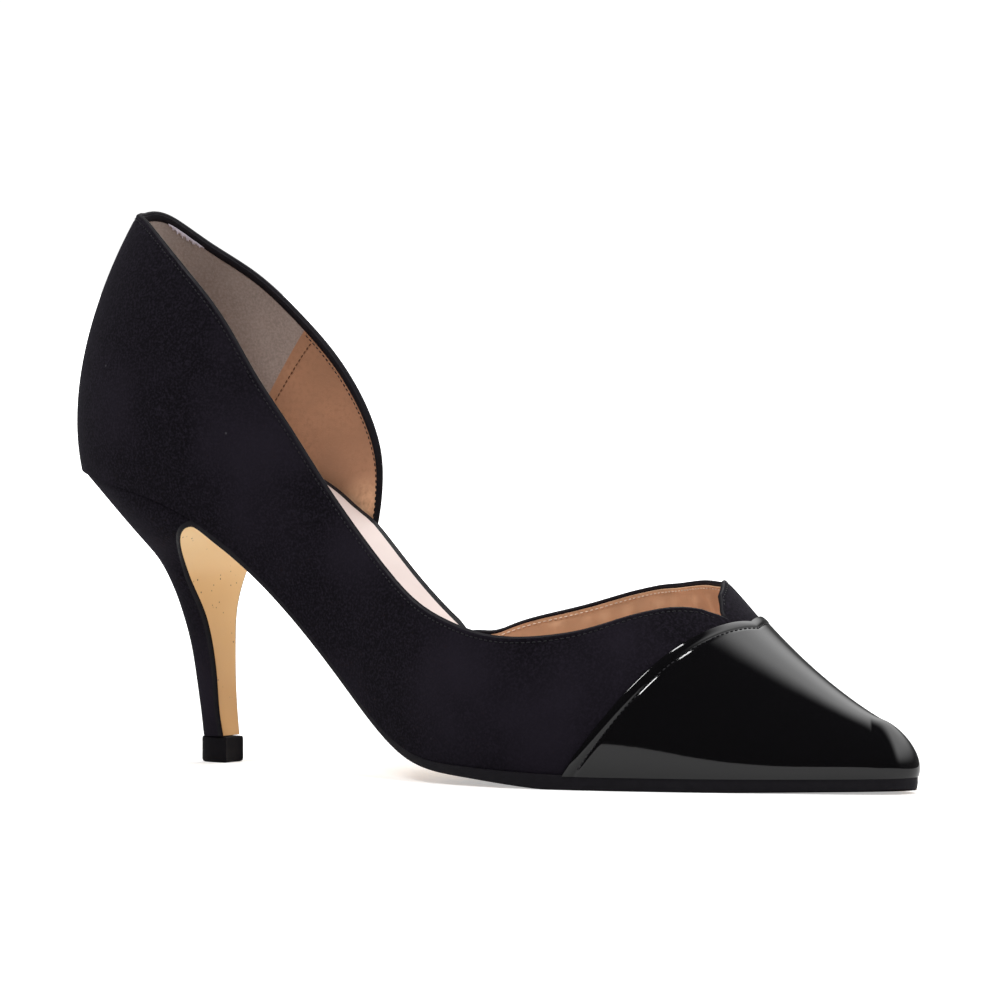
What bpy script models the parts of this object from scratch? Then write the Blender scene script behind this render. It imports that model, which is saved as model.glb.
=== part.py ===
"""Pointed half-open pump for the right foot, built as six separate solids.

Metres. +X points to the toe, +Y to the inner side of the foot, +Z up, and the floor is at z = 0.
The last is a family of ribs: each rib starts on the feather line (the edge where upper and sole
meet) and ends on the ridge (the top line of the last, in the centre plane).
"""

from collections import namedtuple

import bmesh
import bpy
import numpy as np

# Driving dimensions
LENGTH = 0.233
BALL_WIDTH = 0.0715
HEEL_HEIGHT = 0.0725
INSTEP = 0.065

# Walls, layers and gaps
WALL = 0.0015
GAP = 0.0003
TREAD = 0.0030
CAP_THICKNESS = 0.0008
CAP_STANDOFF = 0.0004
FLAP_THICKNESS = 0.0008
SOLE_PROUD = 0.0006
HEEL_INSET = 0.0004

# Where the object sits in its frame, so that the origin is the middle of its box
BACK_X = -0.1166
CENTRE_Y = 0.0002

# Radii of the feather line at its two ends, the smallest reach of a rib's top, and the angle over
# which the ridge's direction is read
BACK_RADIUS = 0.023
TOE_RADIUS = 0.006
LEAST_REACH = 0.006
RIDGE_STEP = 0.05

# How far the inner side of the bottom lags behind the outer side, per metre across
SKEW = 0.29

LATERAL = -1
MEDIAL = 1

# One row per section of the last. along: share of the length, from the back. lateral, medial: half
# widths of the feather line as shares of the ball width. rise: bottom of the last as a share of the
# heel height. ridge_along, ridge_height: the rib's top, its height as a share of the instep.
# tilt: slope of the top in degrees, up to the inner side. flare: outward lean of the wall in degrees.
# low, high: fullness of the rib near the sole and near the ridge.
Section = namedtuple(
    "Section", "along lateral medial rise ridge_along ridge_height tilt flare low high"
)
SECTIONS = [
    Section(0.000, 0.000, 0.000, 1.000, 0.090, 1.131, 0, 25, 0.50, 0.20),
    Section(0.090, 0.320, 0.320, 0.942, 0.167, 1.195, 0, 15, 0.42, 0.85),
    Section(0.200, 0.357, 0.336, 0.841, 0.272, 1.150, 0, 12, 0.42, 0.85),
    Section(0.305, 0.343, 0.287, 0.638, 0.369, 1.060, 0, 12, 0.42, 0.80),
    Section(0.410, 0.378, 0.280, 0.340, 0.453, 1.095, 5, 12, 0.42, 0.76),
    Section(0.520, 0.469, 0.399, 0.064, 0.532, 1.115, 9, 12, 0.42, 0.72),
    Section(0.605, 0.504, 0.490, 0.0165, 0.605, 0.995, 12, 12, 0.42, 0.68),
    Section(0.690, 0.469, 0.490, 0.0015, 0.686, 0.817, 11.5, 10, 0.42, 0.64),
    Section(0.755, 0.406, 0.438, 0.000, 0.745, 0.732, 10, 10, 0.42, 0.61),
    Section(0.800, 0.353, 0.388, 0.000, 0.785, 0.618, 7.5, 10, 0.42, 0.60),
    Section(0.900, 0.215, 0.238, 0.003, 0.880, 0.357, 3, 14, 0.42, 0.58),
    Section(1.000, 0.000, 0.000, 0.012, 0.962, 0.190, 0, 42, 0.42, 0.90),
]

# How strongly the bottom is skewed along the length
Skewing = namedtuple("Skewing", "along strength")
SKEWING = [
    Skewing(0.00, 0.0),
    Skewing(0.12, 0.0),
    Skewing(0.24, 0.6),
    Skewing(0.35, 1.0),
    Skewing(0.50, 1.0),
    Skewing(0.60, 0.8),
    Skewing(0.72, 0.2),
    Skewing(0.82, 0.0),
    Skewing(1.00, 0.0),
]

# Toplines: the share of each rib that the upper covers
Topline = namedtuple("Topline", "along share")
LATERAL_TOP = [
    Topline(0.000, 0.682),
    Topline(0.025, 0.672),
    Topline(0.052, 0.655),
    Topline(0.085, 0.617),
    Topline(0.141, 0.540),
    Topline(0.191, 0.477),
    Topline(0.241, 0.413),
    Topline(0.285, 0.382),
    Topline(0.340, 0.3535),
    Topline(0.400, 0.3465),
    Topline(0.450, 0.351),
    Topline(0.500, 0.354),
    Topline(0.540, 0.358),
    Topline(0.570, 0.3625),
    Topline(0.595, 0.374),
    Topline(0.646, 0.443),
    Topline(0.680, 0.519),
    Topline(0.709, 0.597),
    Topline(0.737, 0.668),
    Topline(0.762, 0.742),
    Topline(0.781, 0.808),
    Topline(0.797, 0.880),
    Topline(0.810, 1.000),
]
QUARTER_TOP = [
    Topline(0.000, 0.682),
    Topline(0.020, 0.669),
    Topline(0.060, 0.577),
    Topline(0.100, 0.514),
    Topline(0.150, 0.439),
    Topline(0.211, 0.367),
    Topline(0.250, 0.306),
    Topline(0.272, 0.243),
    Topline(0.282, 0.177),
    Topline(0.288, 0.100),
]
VAMP_TOP = [
    Topline(0.420, 0.030),
    Topline(0.436, 0.0685),
    Topline(0.458, 0.134),
    Topline(0.494, 0.227),
    Topline(0.568, 0.368),
    Topline(0.612, 0.447),
    Topline(0.641, 0.509),
    Topline(0.686, 0.621),
    Topline(0.711, 0.674),
    Topline(0.731, 0.7065),
    Topline(0.748, 0.765),
    Topline(0.767, 0.865),
    Topline(0.785, 0.955),
    Topline(0.797, 0.985),
    Topline(0.810, 1.000),
]
NOTCH_ALONG = LATERAL_TOP[-1].along
QUARTER_END = QUARTER_TOP[-1].along
VAMP_START = VAMP_TOP[0].along

# Rear edge of the toe cap, from the sole up to its peak just ahead of the notch
CAP_FOOT_ALONG = 0.681
CAP_PEAK_ALONG = 0.829
CAP_BOW = 0.048

# Thickness of insole and outsole along the foot
Layers = namedtuple("Layers", "along insole outsole")
LAYERS = [
    Layers(0.00, 0.0050, 0.0015),
    Layers(0.12, 0.0072, 0.0015),
    Layers(0.20, 0.0088, 0.0015),
    Layers(0.26, 0.0086, 0.0014),
    Layers(0.30, 0.0069, 0.0014),
    Layers(0.35, 0.0039, 0.0014),
    Layers(0.42, 0.0025, 0.0015),
    Layers(0.50, 0.0034, 0.0018),
    Layers(0.56, 0.0034, 0.0021),
    Layers(0.61, 0.0032, 0.0026),
    Layers(0.66, 0.0031, TREAD + 0.0002),
    Layers(0.82, 0.0030, TREAD + 0.0001),
    Layers(1.00, 0.0026, 0.0030),
]

# The outsole's edge stands proud of the upper from the ball on, and its waist ends ahead of the breast
PROUD_FROM = 0.45
PROUD_BLEND = 0.15
FLAP_CLEAR = 0.008

# In the open waist the insole widens to the feather line, between these two stations
BARE_FROM = 0.292
BARE_TO = 0.414
BARE_BLEND = 0.030

# Towards the toe the insole draws in under the low top of the upper
TOE_DRAW = 0.0025
TOE_DRAW_FROM = 0.82

# Stem of the heel, behind the breast line; x is measured from the back of the feather line
Stem = namedtuple("Stem", "z back breast half_width")
TIP_HEIGHT = 0.0064
STEM = [
    Stem(TIP_HEIGHT + GAP, 0.0326, 0.0393, 0.0038),
    Stem(0.0120, 0.0320, 0.0385, 0.0042),
    Stem(0.0200, 0.0307, 0.0379, 0.0044),
    Stem(0.0300, 0.0289, 0.0371, 0.0055),
    Stem(0.0380, 0.0268, 0.0361, 0.0078),
    Stem(0.0450, 0.0250, 0.0354, 0.0119),
    Stem(0.0510, 0.0219, 0.0364, 0.0164),
    Stem(0.0550, 0.0186, 0.0389, 0.0212),
]
BREAST_ALONG = 0.200
TIP_BACK = 0.0323
TIP_FRONT = 0.0414
TIP_HALF_WIDTH = 0.0036
TIP_CHAMFER = 0.0006
TIP_SQUARENESS = 2.6

# Mesh density
ROWS = 10
COLLAR_COLUMNS = 40
TOE_COLUMNS = 18
QUARTER_COLUMNS = 18
VAMP_COLUMNS = 18
CAP_COLUMNS = 20
SOLE_COLUMNS = 44
ACROSS = 8
HEEL_AROUND = 24
HEEL_RINGS = 14
WELD_DISTANCE = 2e-6
SHARP_ANGLE = 40

# Colours of the materials: name, colour, roughness
SUEDE = ("black_suede", (0.017, 0.016, 0.019, 1.0), 0.95)
PATENT = ("black_patent", (0.010, 0.010, 0.011, 1.0), 0.08)
SOCK = ("nude_leather", (0.78, 0.60, 0.53, 1.0), 0.50)
LEATHER = ("tan_sole_leather", (0.72, 0.52, 0.33, 1.0), 0.40)
PLASTIC = ("black_tip", (0.020, 0.020, 0.022, 1.0), 0.45)


def spline(xs, ys, start=None, end=None):
    """Return a smooth cubic through the points; start and end are slopes, or None for a free end."""
    xs = np.asarray(xs, float)
    ys = np.asarray(ys, float)
    count = len(xs)
    step = np.diff(xs)
    secant = np.diff(ys) / step
    matrix = np.zeros((count, count))
    right = np.zeros(count)
    for i in range(1, count - 1):
        matrix[i, i - 1:i + 2] = step[i], 2 * (step[i - 1] + step[i]), step[i - 1]
        right[i] = 3 * (step[i] * secant[i - 1] + step[i - 1] * secant[i])
    matrix[0, :2] = (2, 1) if start is None else (1, 0)
    right[0] = 3 * secant[0] if start is None else start
    matrix[-1, -2:] = (1, 2) if end is None else (0, 1)
    right[-1] = 3 * secant[-1] if end is None else end
    slope = np.linalg.solve(matrix, right)

    def curve(x):
        x = np.asarray(x, float)
        i = np.clip(np.searchsorted(xs, x) - 1, 0, count - 2)
        t = (x - xs[i]) / step[i]
        left = (1 + 2 * t) * (1 - t) ** 2 * ys[i] + t * (1 - t) ** 2 * step[i] * slope[i]
        return left + t * t * (3 - 2 * t) * ys[i + 1] + t * t * (t - 1) * step[i] * slope[i + 1]

    return curve


def angle_of(along):
    """Turn a share of the length into the angle that spaces the ribs closely at both ends."""
    return np.arccos(np.clip(1 - 2 * np.asarray(along, float), -1, 1))


def by_angle(rows, column, start=None, end=None):
    """Spline one column of a table against the angle of its stations."""
    return spline(angle_of([row.along for row in rows]), [getattr(row, column) for row in rows], start, end)


def by_length(rows, column):
    """Spline one column of a table against the share of the length."""
    return spline([row.along for row in rows], [getattr(row, column) for row in rows])


BACK_SLOPE = np.sqrt(BACK_RADIUS * LENGTH / 2) / BALL_WIDTH
TOE_SLOPE = -np.sqrt(TOE_RADIUS * LENGTH / 2) / BALL_WIDTH
HALF_WIDTH = {
    LATERAL: by_angle(SECTIONS, "lateral", BACK_SLOPE, TOE_SLOPE),
    MEDIAL: by_angle(SECTIONS, "medial", BACK_SLOPE, TOE_SLOPE),
}
RISE = by_length(SECTIONS, "rise")
SKEW_STRENGTH = by_length(SKEWING, "strength")
RIDGE_ALONG = by_angle(SECTIONS, "ridge_along", 0.0, 0.0)
RIDGE_HEIGHT = by_angle(SECTIONS, "ridge_height", 0.0, 0.0)
TILT = by_angle(SECTIONS, "tilt", 0.0, 0.0)
FLARE = by_angle(SECTIONS, "flare", 0.0, 0.0)
LOW_FULLNESS = by_angle(SECTIONS, "low", 0.0, 0.0)
HIGH_FULLNESS = by_angle(SECTIONS, "high", 0.0, 0.0)
INSOLE_THICKNESS = by_length(LAYERS, "insole")
OUTSOLE_THICKNESS = by_length(LAYERS, "outsole")


def floor_height(x, y):
    """Height of the last's bottom over a point of the plan."""
    along = (x - BACK_X) / LENGTH
    lag = SKEW * SKEW_STRENGTH(along) * (y - CENTRE_Y) / LENGTH
    base = TREAD + GAP
    return base + (HEEL_HEIGHT - base) * RISE(along - lag)


def plan_point(angle, side):
    """Point of the feather line in plan."""
    angle = np.asarray(angle, float)
    x = BACK_X + LENGTH * (1 - np.cos(angle)) / 2
    y = CENTRE_Y + side * BALL_WIDTH * HALF_WIDTH[side](angle)
    return np.stack([x, y], -1)


def on_centre(angle):
    """Tell which ribs stand at the very back or the very toe."""
    return np.isclose(np.sin(angle), 0, atol=1e-9)


def plan_normal(angle, side):
    """Outward normal of the feather line in plan."""
    nudge = 3e-4
    angle = np.asarray(angle, float)
    ahead = plan_point(np.clip(angle + nudge, 0, np.pi), side)
    behind = plan_point(np.clip(angle - nudge, 0, np.pi), side)
    run = ahead - behind
    run[..., 0] *= ~on_centre(angle)
    run /= np.linalg.norm(run, axis=-1, keepdims=True)
    return np.stack([-side * run[..., 1], side * run[..., 0]], -1)


def edge_point(angle, side, outward):
    """Point on the bottom of the last, moved outward in plan from the feather line."""
    plan = plan_point(angle, side) + np.asarray(outward)[..., None] * plan_normal(angle, side)
    plan[..., 1] = np.where(on_centre(angle), CENTRE_Y, plan[..., 1])
    return np.concatenate([plan, floor_height(plan[..., :1], plan[..., 1:])], -1)


def ridge_point(angle):
    """Top of the rib at an angle."""
    x = BACK_X + LENGTH * (1 - np.cos(angle)) / 2
    height = floor_height(x, CENTRE_Y) + INSTEP * RIDGE_HEIGHT(angle)
    return np.stack([BACK_X + LENGTH * RIDGE_ALONG(angle), np.full(angle.shape, CENTRE_Y), height], -1)


def ridge_run(angle):
    """Direction of the ridge at an angle."""
    ahead = ridge_point(np.clip(angle + RIDGE_STEP, 0, np.pi))
    run = ahead - ridge_point(np.clip(angle - RIDGE_STEP, 0, np.pi))
    return run / np.linalg.norm(run, axis=-1, keepdims=True)


def last_point(angle, share, side):
    """Point on the last: share 0 is the feather line and share 1 the ridge."""
    angle, share = np.broadcast_arrays(np.asarray(angle, float), np.asarray(share, float))
    foot = edge_point(angle, side, np.zeros_like(angle))
    top = ridge_point(angle)
    normal = plan_normal(angle, side)
    level = np.zeros_like(angle)
    out = np.stack([normal[..., 0], normal[..., 1], level], -1)
    rise = top - foot
    rise[..., 1] = 0
    height = np.linalg.norm(rise, axis=-1, keepdims=True)
    flare = np.radians(FLARE(angle))[..., None]
    lean = rise / height * np.cos(flare) + out * np.sin(flare)
    low = foot + LOW_FULLNESS(angle)[..., None] * height * lean
    across = np.stack([level, normal[..., 1], normal[..., 1] * np.tan(np.radians(TILT(angle)))], -1)
    spread = normal[..., :1] * ridge_run(angle) + across
    reach = np.maximum(np.abs(foot[..., 1:2] - CENTRE_Y), LEAST_REACH)
    high = top + HIGH_FULLNESS(angle)[..., None] * reach * spread
    t = share[..., None]
    return (1 - t) ** 3 * foot + 3 * (1 - t) ** 2 * t * low + 3 * (1 - t) * t * t * high + t ** 3 * top


def columns(start, end, count):
    """Rib angles between two stations, evenly spaced."""
    return np.linspace(angle_of(start), angle_of(end), count + 1)


def add_grid(bm, points, flip):
    """Add a grid of quads; points has the shape columns, rows, 3."""
    verts = [[bm.verts.new(point) for point in column] for column in points]
    for left, right in zip(verts, verts[1:]):
        for j in range(len(left) - 1):
            face = [left[j], right[j], right[j + 1], left[j + 1]]
            bm.faces.new(face[::-1] if flip else face)


def weld(bm):
    """Merge points that coincide and drop the faces that this closes up."""
    bmesh.ops.remove_doubles(bm, verts=bm.verts, dist=WELD_DISTANCE)
    bmesh.ops.dissolve_degenerate(bm, edges=bm.edges, dist=WELD_DISTANCE)


def finish_object(name, bm, finish):
    """Turn a bmesh into a named, smooth-shaded object with its own material."""
    mesh = bpy.data.meshes.new(name)
    bm.to_mesh(mesh)
    bm.free()
    mesh.shade_smooth()
    mesh.set_sharp_from_angle(angle=np.radians(SHARP_ANGLE))
    material = bpy.data.materials.new(finish[0])
    material.use_nodes = True
    shader = material.node_tree.nodes["Principled BSDF"]
    shader.inputs["Base Color"].default_value = finish[1]
    shader.inputs["Roughness"].default_value = finish[2]
    mesh.materials.append(material)
    piece = bpy.data.objects.new(name, mesh)
    bpy.context.scene.collection.objects.link(piece)
    return piece


def add_wall(piece, thickness, offset):
    """Give an open skin its thickness; offset -1 grows it inward from the skin."""
    wall = piece.modifiers.new("wall", "SOLIDIFY")
    wall.thickness = thickness
    wall.offset = offset
    wall.use_even_offset = True
    wall.use_quality_normals = True
    return wall


def make_upper():
    """The suede upper: one hollow wall, open at collar, throat, inner waist and underneath."""
    bm = bmesh.new()
    shares = np.linspace(0, 1, ROWS + 1)

    def cover(angles, tops, side):
        add_grid(bm, last_point(angles[:, None], np.outer(tops, shares), side), side == MEDIAL)

    toe = columns(NOTCH_ALONG, 1, TOE_COLUMNS)
    whole = np.ones(len(toe))
    collar = columns(0, NOTCH_ALONG, COLLAR_COLUMNS)
    quarter = columns(0, QUARTER_END, QUARTER_COLUMNS)
    vamp = columns(VAMP_START, NOTCH_ALONG, VAMP_COLUMNS)
    cover(collar, by_angle(LATERAL_TOP, "share")(collar), LATERAL)
    cover(quarter, by_angle(QUARTER_TOP, "share")(quarter), MEDIAL)
    cover(vamp, by_angle(VAMP_TOP, "share")(vamp), MEDIAL)
    cover(toe, whole, LATERAL)
    cover(toe, whole, MEDIAL)
    weld(bm)
    add_wall(finish_object("upper", bm, SUEDE), WALL, -1)


def make_toe_cap():
    """The patent toe cap: an overlay that follows the last, just clear of the upper."""
    bm = bmesh.new()
    shares = np.linspace(0, 1, ROWS + 1)
    linear = CAP_PEAK_ALONG - CAP_FOOT_ALONG + CAP_BOW
    rear = angle_of(CAP_FOOT_ALONG + linear * shares - CAP_BOW * shares ** 2)
    steps = np.linspace(0, 1, CAP_COLUMNS + 1)[:, None]
    angles = rear + (np.pi - rear) * steps
    for side in (LATERAL, MEDIAL):
        add_grid(bm, last_point(angles, shares[None, :], side), side == MEDIAL)
    weld(bm)
    cap = finish_object("toe_cap", bm, PATENT)
    add_wall(cap, CAP_THICKNESS, 1 + 2 * CAP_STANDOFF / CAP_THICKNESS)


def add_slab(bm, upper_rows, lower_rows):
    """Close a solid between two stacks of rows that run from the outer to the inner side."""
    ring = np.concatenate([upper_rows, lower_rows[:, ::-1], upper_rows[:, :1]], 1)
    add_grid(bm, ring, False)
    for end, flip in ((0, True), (-1, False)):
        cap = np.stack([upper_rows[end], lower_rows[end]])
        add_grid(bm, cap, flip)
    weld(bm)


def rows_across(angles, outward):
    """Rows of points on the bottom of the last, from the outer edge to the inner edge."""
    outer = edge_point(angles, LATERAL, outward[LATERAL])
    inner = edge_point(angles, MEDIAL, outward[MEDIAL])
    steps = np.linspace(0, 1, ACROSS + 1)[None, :, None]
    rows = outer[:, None, :] * (1 - steps) + inner[:, None, :] * steps
    rows[..., 2] = floor_height(rows[..., 0], rows[..., 1])
    return rows


def smooth_step(x):
    """Ease from 0 to 1."""
    x = np.clip(x, 0, 1)
    return x * x * (3 - 2 * x)


def make_insole():
    """The leather-wrapped insole: inside the walls, and out to the feather line in the open waist."""
    angles = columns(0, 1, SOLE_COLUMNS)
    along = (1 - np.cos(angles)) / 2
    draw = TOE_DRAW * smooth_step((along - TOE_DRAW_FROM) / (1 - TOE_DRAW_FROM))
    inset = -(WALL / np.cos(np.radians(FLARE(angles))) + GAP + draw)
    opening = smooth_step((along - BARE_FROM) / BARE_BLEND)
    closing = smooth_step((BARE_TO - along) / BARE_BLEND)
    bare = np.minimum(opening, closing)
    lower = rows_across(angles, {LATERAL: inset, MEDIAL: inset * (1 - bare)})
    upper = lower.copy()
    upper[..., 2] += INSOLE_THICKNESS((lower[..., 0] - BACK_X) / LENGTH)
    bm = bmesh.new()
    add_slab(bm, upper, lower)
    finish_object("insole", bm, SOCK)


def heel_rings():
    """Rings of the heel from its foot up to the seat, from outer breast edge round to the inner one."""
    turn = np.linspace(0, np.pi, HEEL_AROUND + 1)
    rings = []
    for row in STEM:
        x = BACK_X + row.breast - (row.breast - row.back) * np.sin(turn)
        y = CENTRE_Y - row.half_width * np.cos(turn)
        rings.append(np.stack([x, y, np.full_like(turn, row.z)], -1))
    half = HEEL_AROUND // 2
    seat_angles = np.linspace(angle_of(BREAST_ALONG), 0, half + 1)
    inset = np.full(half + 1, -HEEL_INSET)
    outer = edge_point(seat_angles, LATERAL, inset)
    inner = edge_point(seat_angles, MEDIAL, inset)
    seat = np.concatenate([outer, inner[-2::-1]])
    seat[:, 2] -= GAP
    rings.append(seat)
    rings = np.array(rings)
    levels = rings[..., 2].mean(1)
    sampled = np.linspace(levels[0], levels[-1], HEEL_RINGS + 1)
    return spline_rings(levels, rings, sampled)


def spline_rings(levels, rings, sampled):
    """Read the rings at other levels, along a smooth curve through each point of the ring."""
    flat = rings.reshape(len(rings), -1)
    curves = [spline(levels, flat[:, i]) for i in range(flat.shape[1])]
    read = np.stack([curve(sampled) for curve in curves], -1)
    return read.reshape((len(sampled),) + rings.shape[1:])


def breast_rows(rings):
    """Straight rows across the breast, one for each ring of the heel."""
    steps = np.linspace(0, 1, ACROSS + 1)[None, :, None]
    rows = rings[:, :1] * (1 - steps) + rings[:, -1:] * steps
    rows[-1, :, 2] = floor_height(rows[-1, :, 0], rows[-1, :, 1]) - GAP
    return rows


def seat_rows(rings):
    """Rows across the heel's top, from the breast to the back."""
    half = HEEL_AROUND // 2
    top = rings[-1]
    steps = np.linspace(0, 1, ACROSS + 1)[None, :, None]
    rows = top[:half + 1, None] * (1 - steps) + top[::-1][:half + 1, None] * steps
    rows[..., 2] = floor_height(rows[..., 0], rows[..., 1]) - GAP
    return rows


def make_heel(rings):
    """The covered heel: slim stem, flaring into the seat."""
    bm = bmesh.new()
    add_grid(bm, np.swapaxes(rings, 0, 1), True)
    add_grid(bm, breast_rows(rings), True)
    add_grid(bm, seat_rows(rings), True)
    foot = [bm.verts.new(point) for point in np.concatenate([rings[0], breast_rows(rings)[0][-2:0:-1]])]
    bm.faces.new(foot)
    weld(bm)
    bmesh.ops.recalc_face_normals(bm, faces=bm.faces)
    finish_object("heel", bm, SUEDE)


def make_outsole(rings):
    """The outsole: tread, waist and the flap that runs down the breast of the heel."""
    angles = columns(1, BREAST_ALONG + FLAP_CLEAR, SOLE_COLUMNS)
    along = (1 - np.cos(angles)) / 2
    proud = SOLE_PROUD * smooth_step((along - PROUD_FROM) / PROUD_BLEND)
    inner = rows_across(angles, {LATERAL: proud, MEDIAL: proud})
    inner[..., 2] -= GAP
    outer = inner.copy()
    outer[..., 2] -= OUTSOLE_THICKNESS(along)[:, None]
    outer[..., 2] = np.maximum(outer[..., 2], 0)

    breast = breast_rows(rings)[::-1]
    middle = breast.mean(1)
    run = np.gradient(middle, axis=0)
    out = np.stack([-run[:, 2], np.zeros(len(run)), run[:, 0]], -1)
    out /= np.linalg.norm(out, axis=1, keepdims=True)
    flap_inner = breast + GAP * out[:, None]
    flap_outer = flap_inner + FLAP_THICKNESS * out[:, None]

    bm = bmesh.new()
    add_slab(bm, np.concatenate([inner, flap_inner]), np.concatenate([outer, flap_outer]))
    bmesh.ops.recalc_face_normals(bm, faces=bm.faces)
    finish_object("outsole", bm, LEATHER)


def make_heel_tip():
    """The hard tip under the heel, a little ahead of the stem."""
    front = BACK_X + TIP_FRONT
    depth = TIP_FRONT - TIP_BACK
    turn = np.linspace(0, np.pi, HEEL_AROUND + 1)
    power = 2 / TIP_SQUARENESS
    bm = bmesh.new()
    loops = []
    for z, inset in ((0, TIP_CHAMFER), (TIP_CHAMFER, 0), (TIP_HEIGHT, 0)):
        x = front - inset - (depth - 2 * inset) * np.sin(turn) ** power
        y = CENTRE_Y - (TIP_HALF_WIDTH - inset) * np.sign(np.cos(turn)) * np.abs(np.cos(turn)) ** power
        loops.append([bm.verts.new(point) for point in np.stack([x, y, np.full_like(turn, z)], -1)])
    for below, above in zip(loops, loops[1:]):
        for i in range(len(below)):
            j = (i + 1) % len(below)
            bm.faces.new([below[i], below[j], above[j], above[i]])
    bm.faces.new(loops[0])
    bm.faces.new(loops[-1])
    bmesh.ops.recalc_face_normals(bm, faces=bm.faces)
    finish_object("heel_tip", bm, PLASTIC)


def main():
    for old in list(bpy.data.objects):
        bpy.data.objects.remove(old, do_unlink=True)
    make_upper()
    make_toe_cap()
    make_insole()
    rings = heel_rings()
    make_heel(rings)
    make_outsole(rings)
    make_heel_tip()


main()
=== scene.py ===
"""Dresses the pointed half-open pump: suede, patent cap, linings, sole, heel, stitches and stage.

Metres. +X points to the toe, +Y to the inner side of the foot, +Z up, and the floor is at z = 0.
"""

from collections import namedtuple

import bmesh
import bpy
import numpy as np
from bpy.props import FloatProperty, FloatVectorProperty, PointerProperty
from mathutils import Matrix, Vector


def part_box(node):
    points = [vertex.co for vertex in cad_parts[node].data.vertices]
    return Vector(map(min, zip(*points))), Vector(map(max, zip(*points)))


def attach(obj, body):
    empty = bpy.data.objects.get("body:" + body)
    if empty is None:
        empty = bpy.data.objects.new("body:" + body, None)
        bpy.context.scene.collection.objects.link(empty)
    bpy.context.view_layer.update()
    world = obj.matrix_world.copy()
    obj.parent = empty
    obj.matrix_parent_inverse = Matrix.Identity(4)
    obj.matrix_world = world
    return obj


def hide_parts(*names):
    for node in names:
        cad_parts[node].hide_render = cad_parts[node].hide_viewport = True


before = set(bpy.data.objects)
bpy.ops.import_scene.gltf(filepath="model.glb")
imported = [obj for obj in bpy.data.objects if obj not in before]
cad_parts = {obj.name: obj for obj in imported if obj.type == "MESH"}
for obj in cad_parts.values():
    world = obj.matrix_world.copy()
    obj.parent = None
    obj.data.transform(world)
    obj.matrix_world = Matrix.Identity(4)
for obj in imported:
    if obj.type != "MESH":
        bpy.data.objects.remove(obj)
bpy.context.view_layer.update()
TIP_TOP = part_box("heel_tip")[1][2]

bl_info = {
    "name": "Pointed pump",
    "version": (1, 0, 0),
    "blender": (4, 5, 0),
    "location": "3D View > Sidebar > Shoe",
    "description": "Builds a suede pump with a patent toe cap around its packed solids",
    "category": "Object",
}

BODY = "root"
LATERAL = -1
MEDIAL = 1

# The last, section by section. along: share of the length, from the back. lateral, medial: half widths
# of the feather line as shares of the ball width. rise: bottom of the last as a share of the heel height.
# ridge_along, ridge_height: the rib's top, its height as a share of the instep. tilt: slope of the top
# in degrees, up to the inner side. flare: outward lean of the wall in degrees. low, high: fullness.
Section = namedtuple(
    "Section", "along lateral medial rise ridge_along ridge_height tilt flare low high"
)
SECTIONS = [
    Section(0.000, 0.000, 0.000, 1.000, 0.090, 1.131, 0, 25, 0.50, 0.20),
    Section(0.090, 0.320, 0.320, 0.942, 0.167, 1.195, 0, 15, 0.42, 0.85),
    Section(0.200, 0.357, 0.336, 0.841, 0.272, 1.150, 0, 12, 0.42, 0.85),
    Section(0.305, 0.343, 0.287, 0.638, 0.369, 1.060, 0, 12, 0.42, 0.80),
    Section(0.410, 0.378, 0.280, 0.340, 0.453, 1.095, 5, 12, 0.42, 0.76),
    Section(0.520, 0.469, 0.399, 0.064, 0.532, 1.115, 9, 12, 0.42, 0.72),
    Section(0.605, 0.504, 0.490, 0.0165, 0.605, 0.995, 12, 12, 0.42, 0.68),
    Section(0.690, 0.469, 0.490, 0.0015, 0.686, 0.817, 11.5, 10, 0.42, 0.64),
    Section(0.755, 0.406, 0.438, 0.000, 0.745, 0.732, 10, 10, 0.42, 0.61),
    Section(0.800, 0.353, 0.388, 0.000, 0.785, 0.618, 7.5, 10, 0.42, 0.60),
    Section(0.900, 0.215, 0.238, 0.003, 0.880, 0.357, 3, 14, 0.42, 0.58),
    Section(1.000, 0.000, 0.000, 0.012, 0.962, 0.190, 0, 42, 0.42, 0.90),
]

# How strongly the bottom is skewed along the length
Skewing = namedtuple("Skewing", "along strength")
SKEWING = [
    Skewing(0.00, 0.0),
    Skewing(0.12, 0.0),
    Skewing(0.24, 0.6),
    Skewing(0.35, 1.0),
    Skewing(0.50, 1.0),
    Skewing(0.60, 0.8),
    Skewing(0.72, 0.2),
    Skewing(0.82, 0.0),
    Skewing(1.00, 0.0),
]

# Toplines: the share of each rib that the upper covers; over 1 it runs past the ridge
Topline = namedtuple("Topline", "along share")
LATERAL_TOP = [
    Topline(0.000, 0.682),
    Topline(0.025, 0.672),
    Topline(0.052, 0.655),
    Topline(0.085, 0.617),
    Topline(0.141, 0.540),
    Topline(0.191, 0.477),
    Topline(0.241, 0.413),
    Topline(0.285, 0.382),
    Topline(0.340, 0.3535),
    Topline(0.400, 0.3465),
    Topline(0.450, 0.351),
    Topline(0.500, 0.354),
    Topline(0.540, 0.358),
    Topline(0.570, 0.3625),
    Topline(0.595, 0.374),
    Topline(0.646, 0.443),
    Topline(0.680, 0.519),
    Topline(0.709, 0.597),
    Topline(0.737, 0.668),
    Topline(0.749, 0.702),
    Topline(0.762, 0.742),
    Topline(0.776, 0.790),
    Topline(0.786, 0.822),
    Topline(0.797, 0.849),
    Topline(0.810, 0.8816),
]
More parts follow.
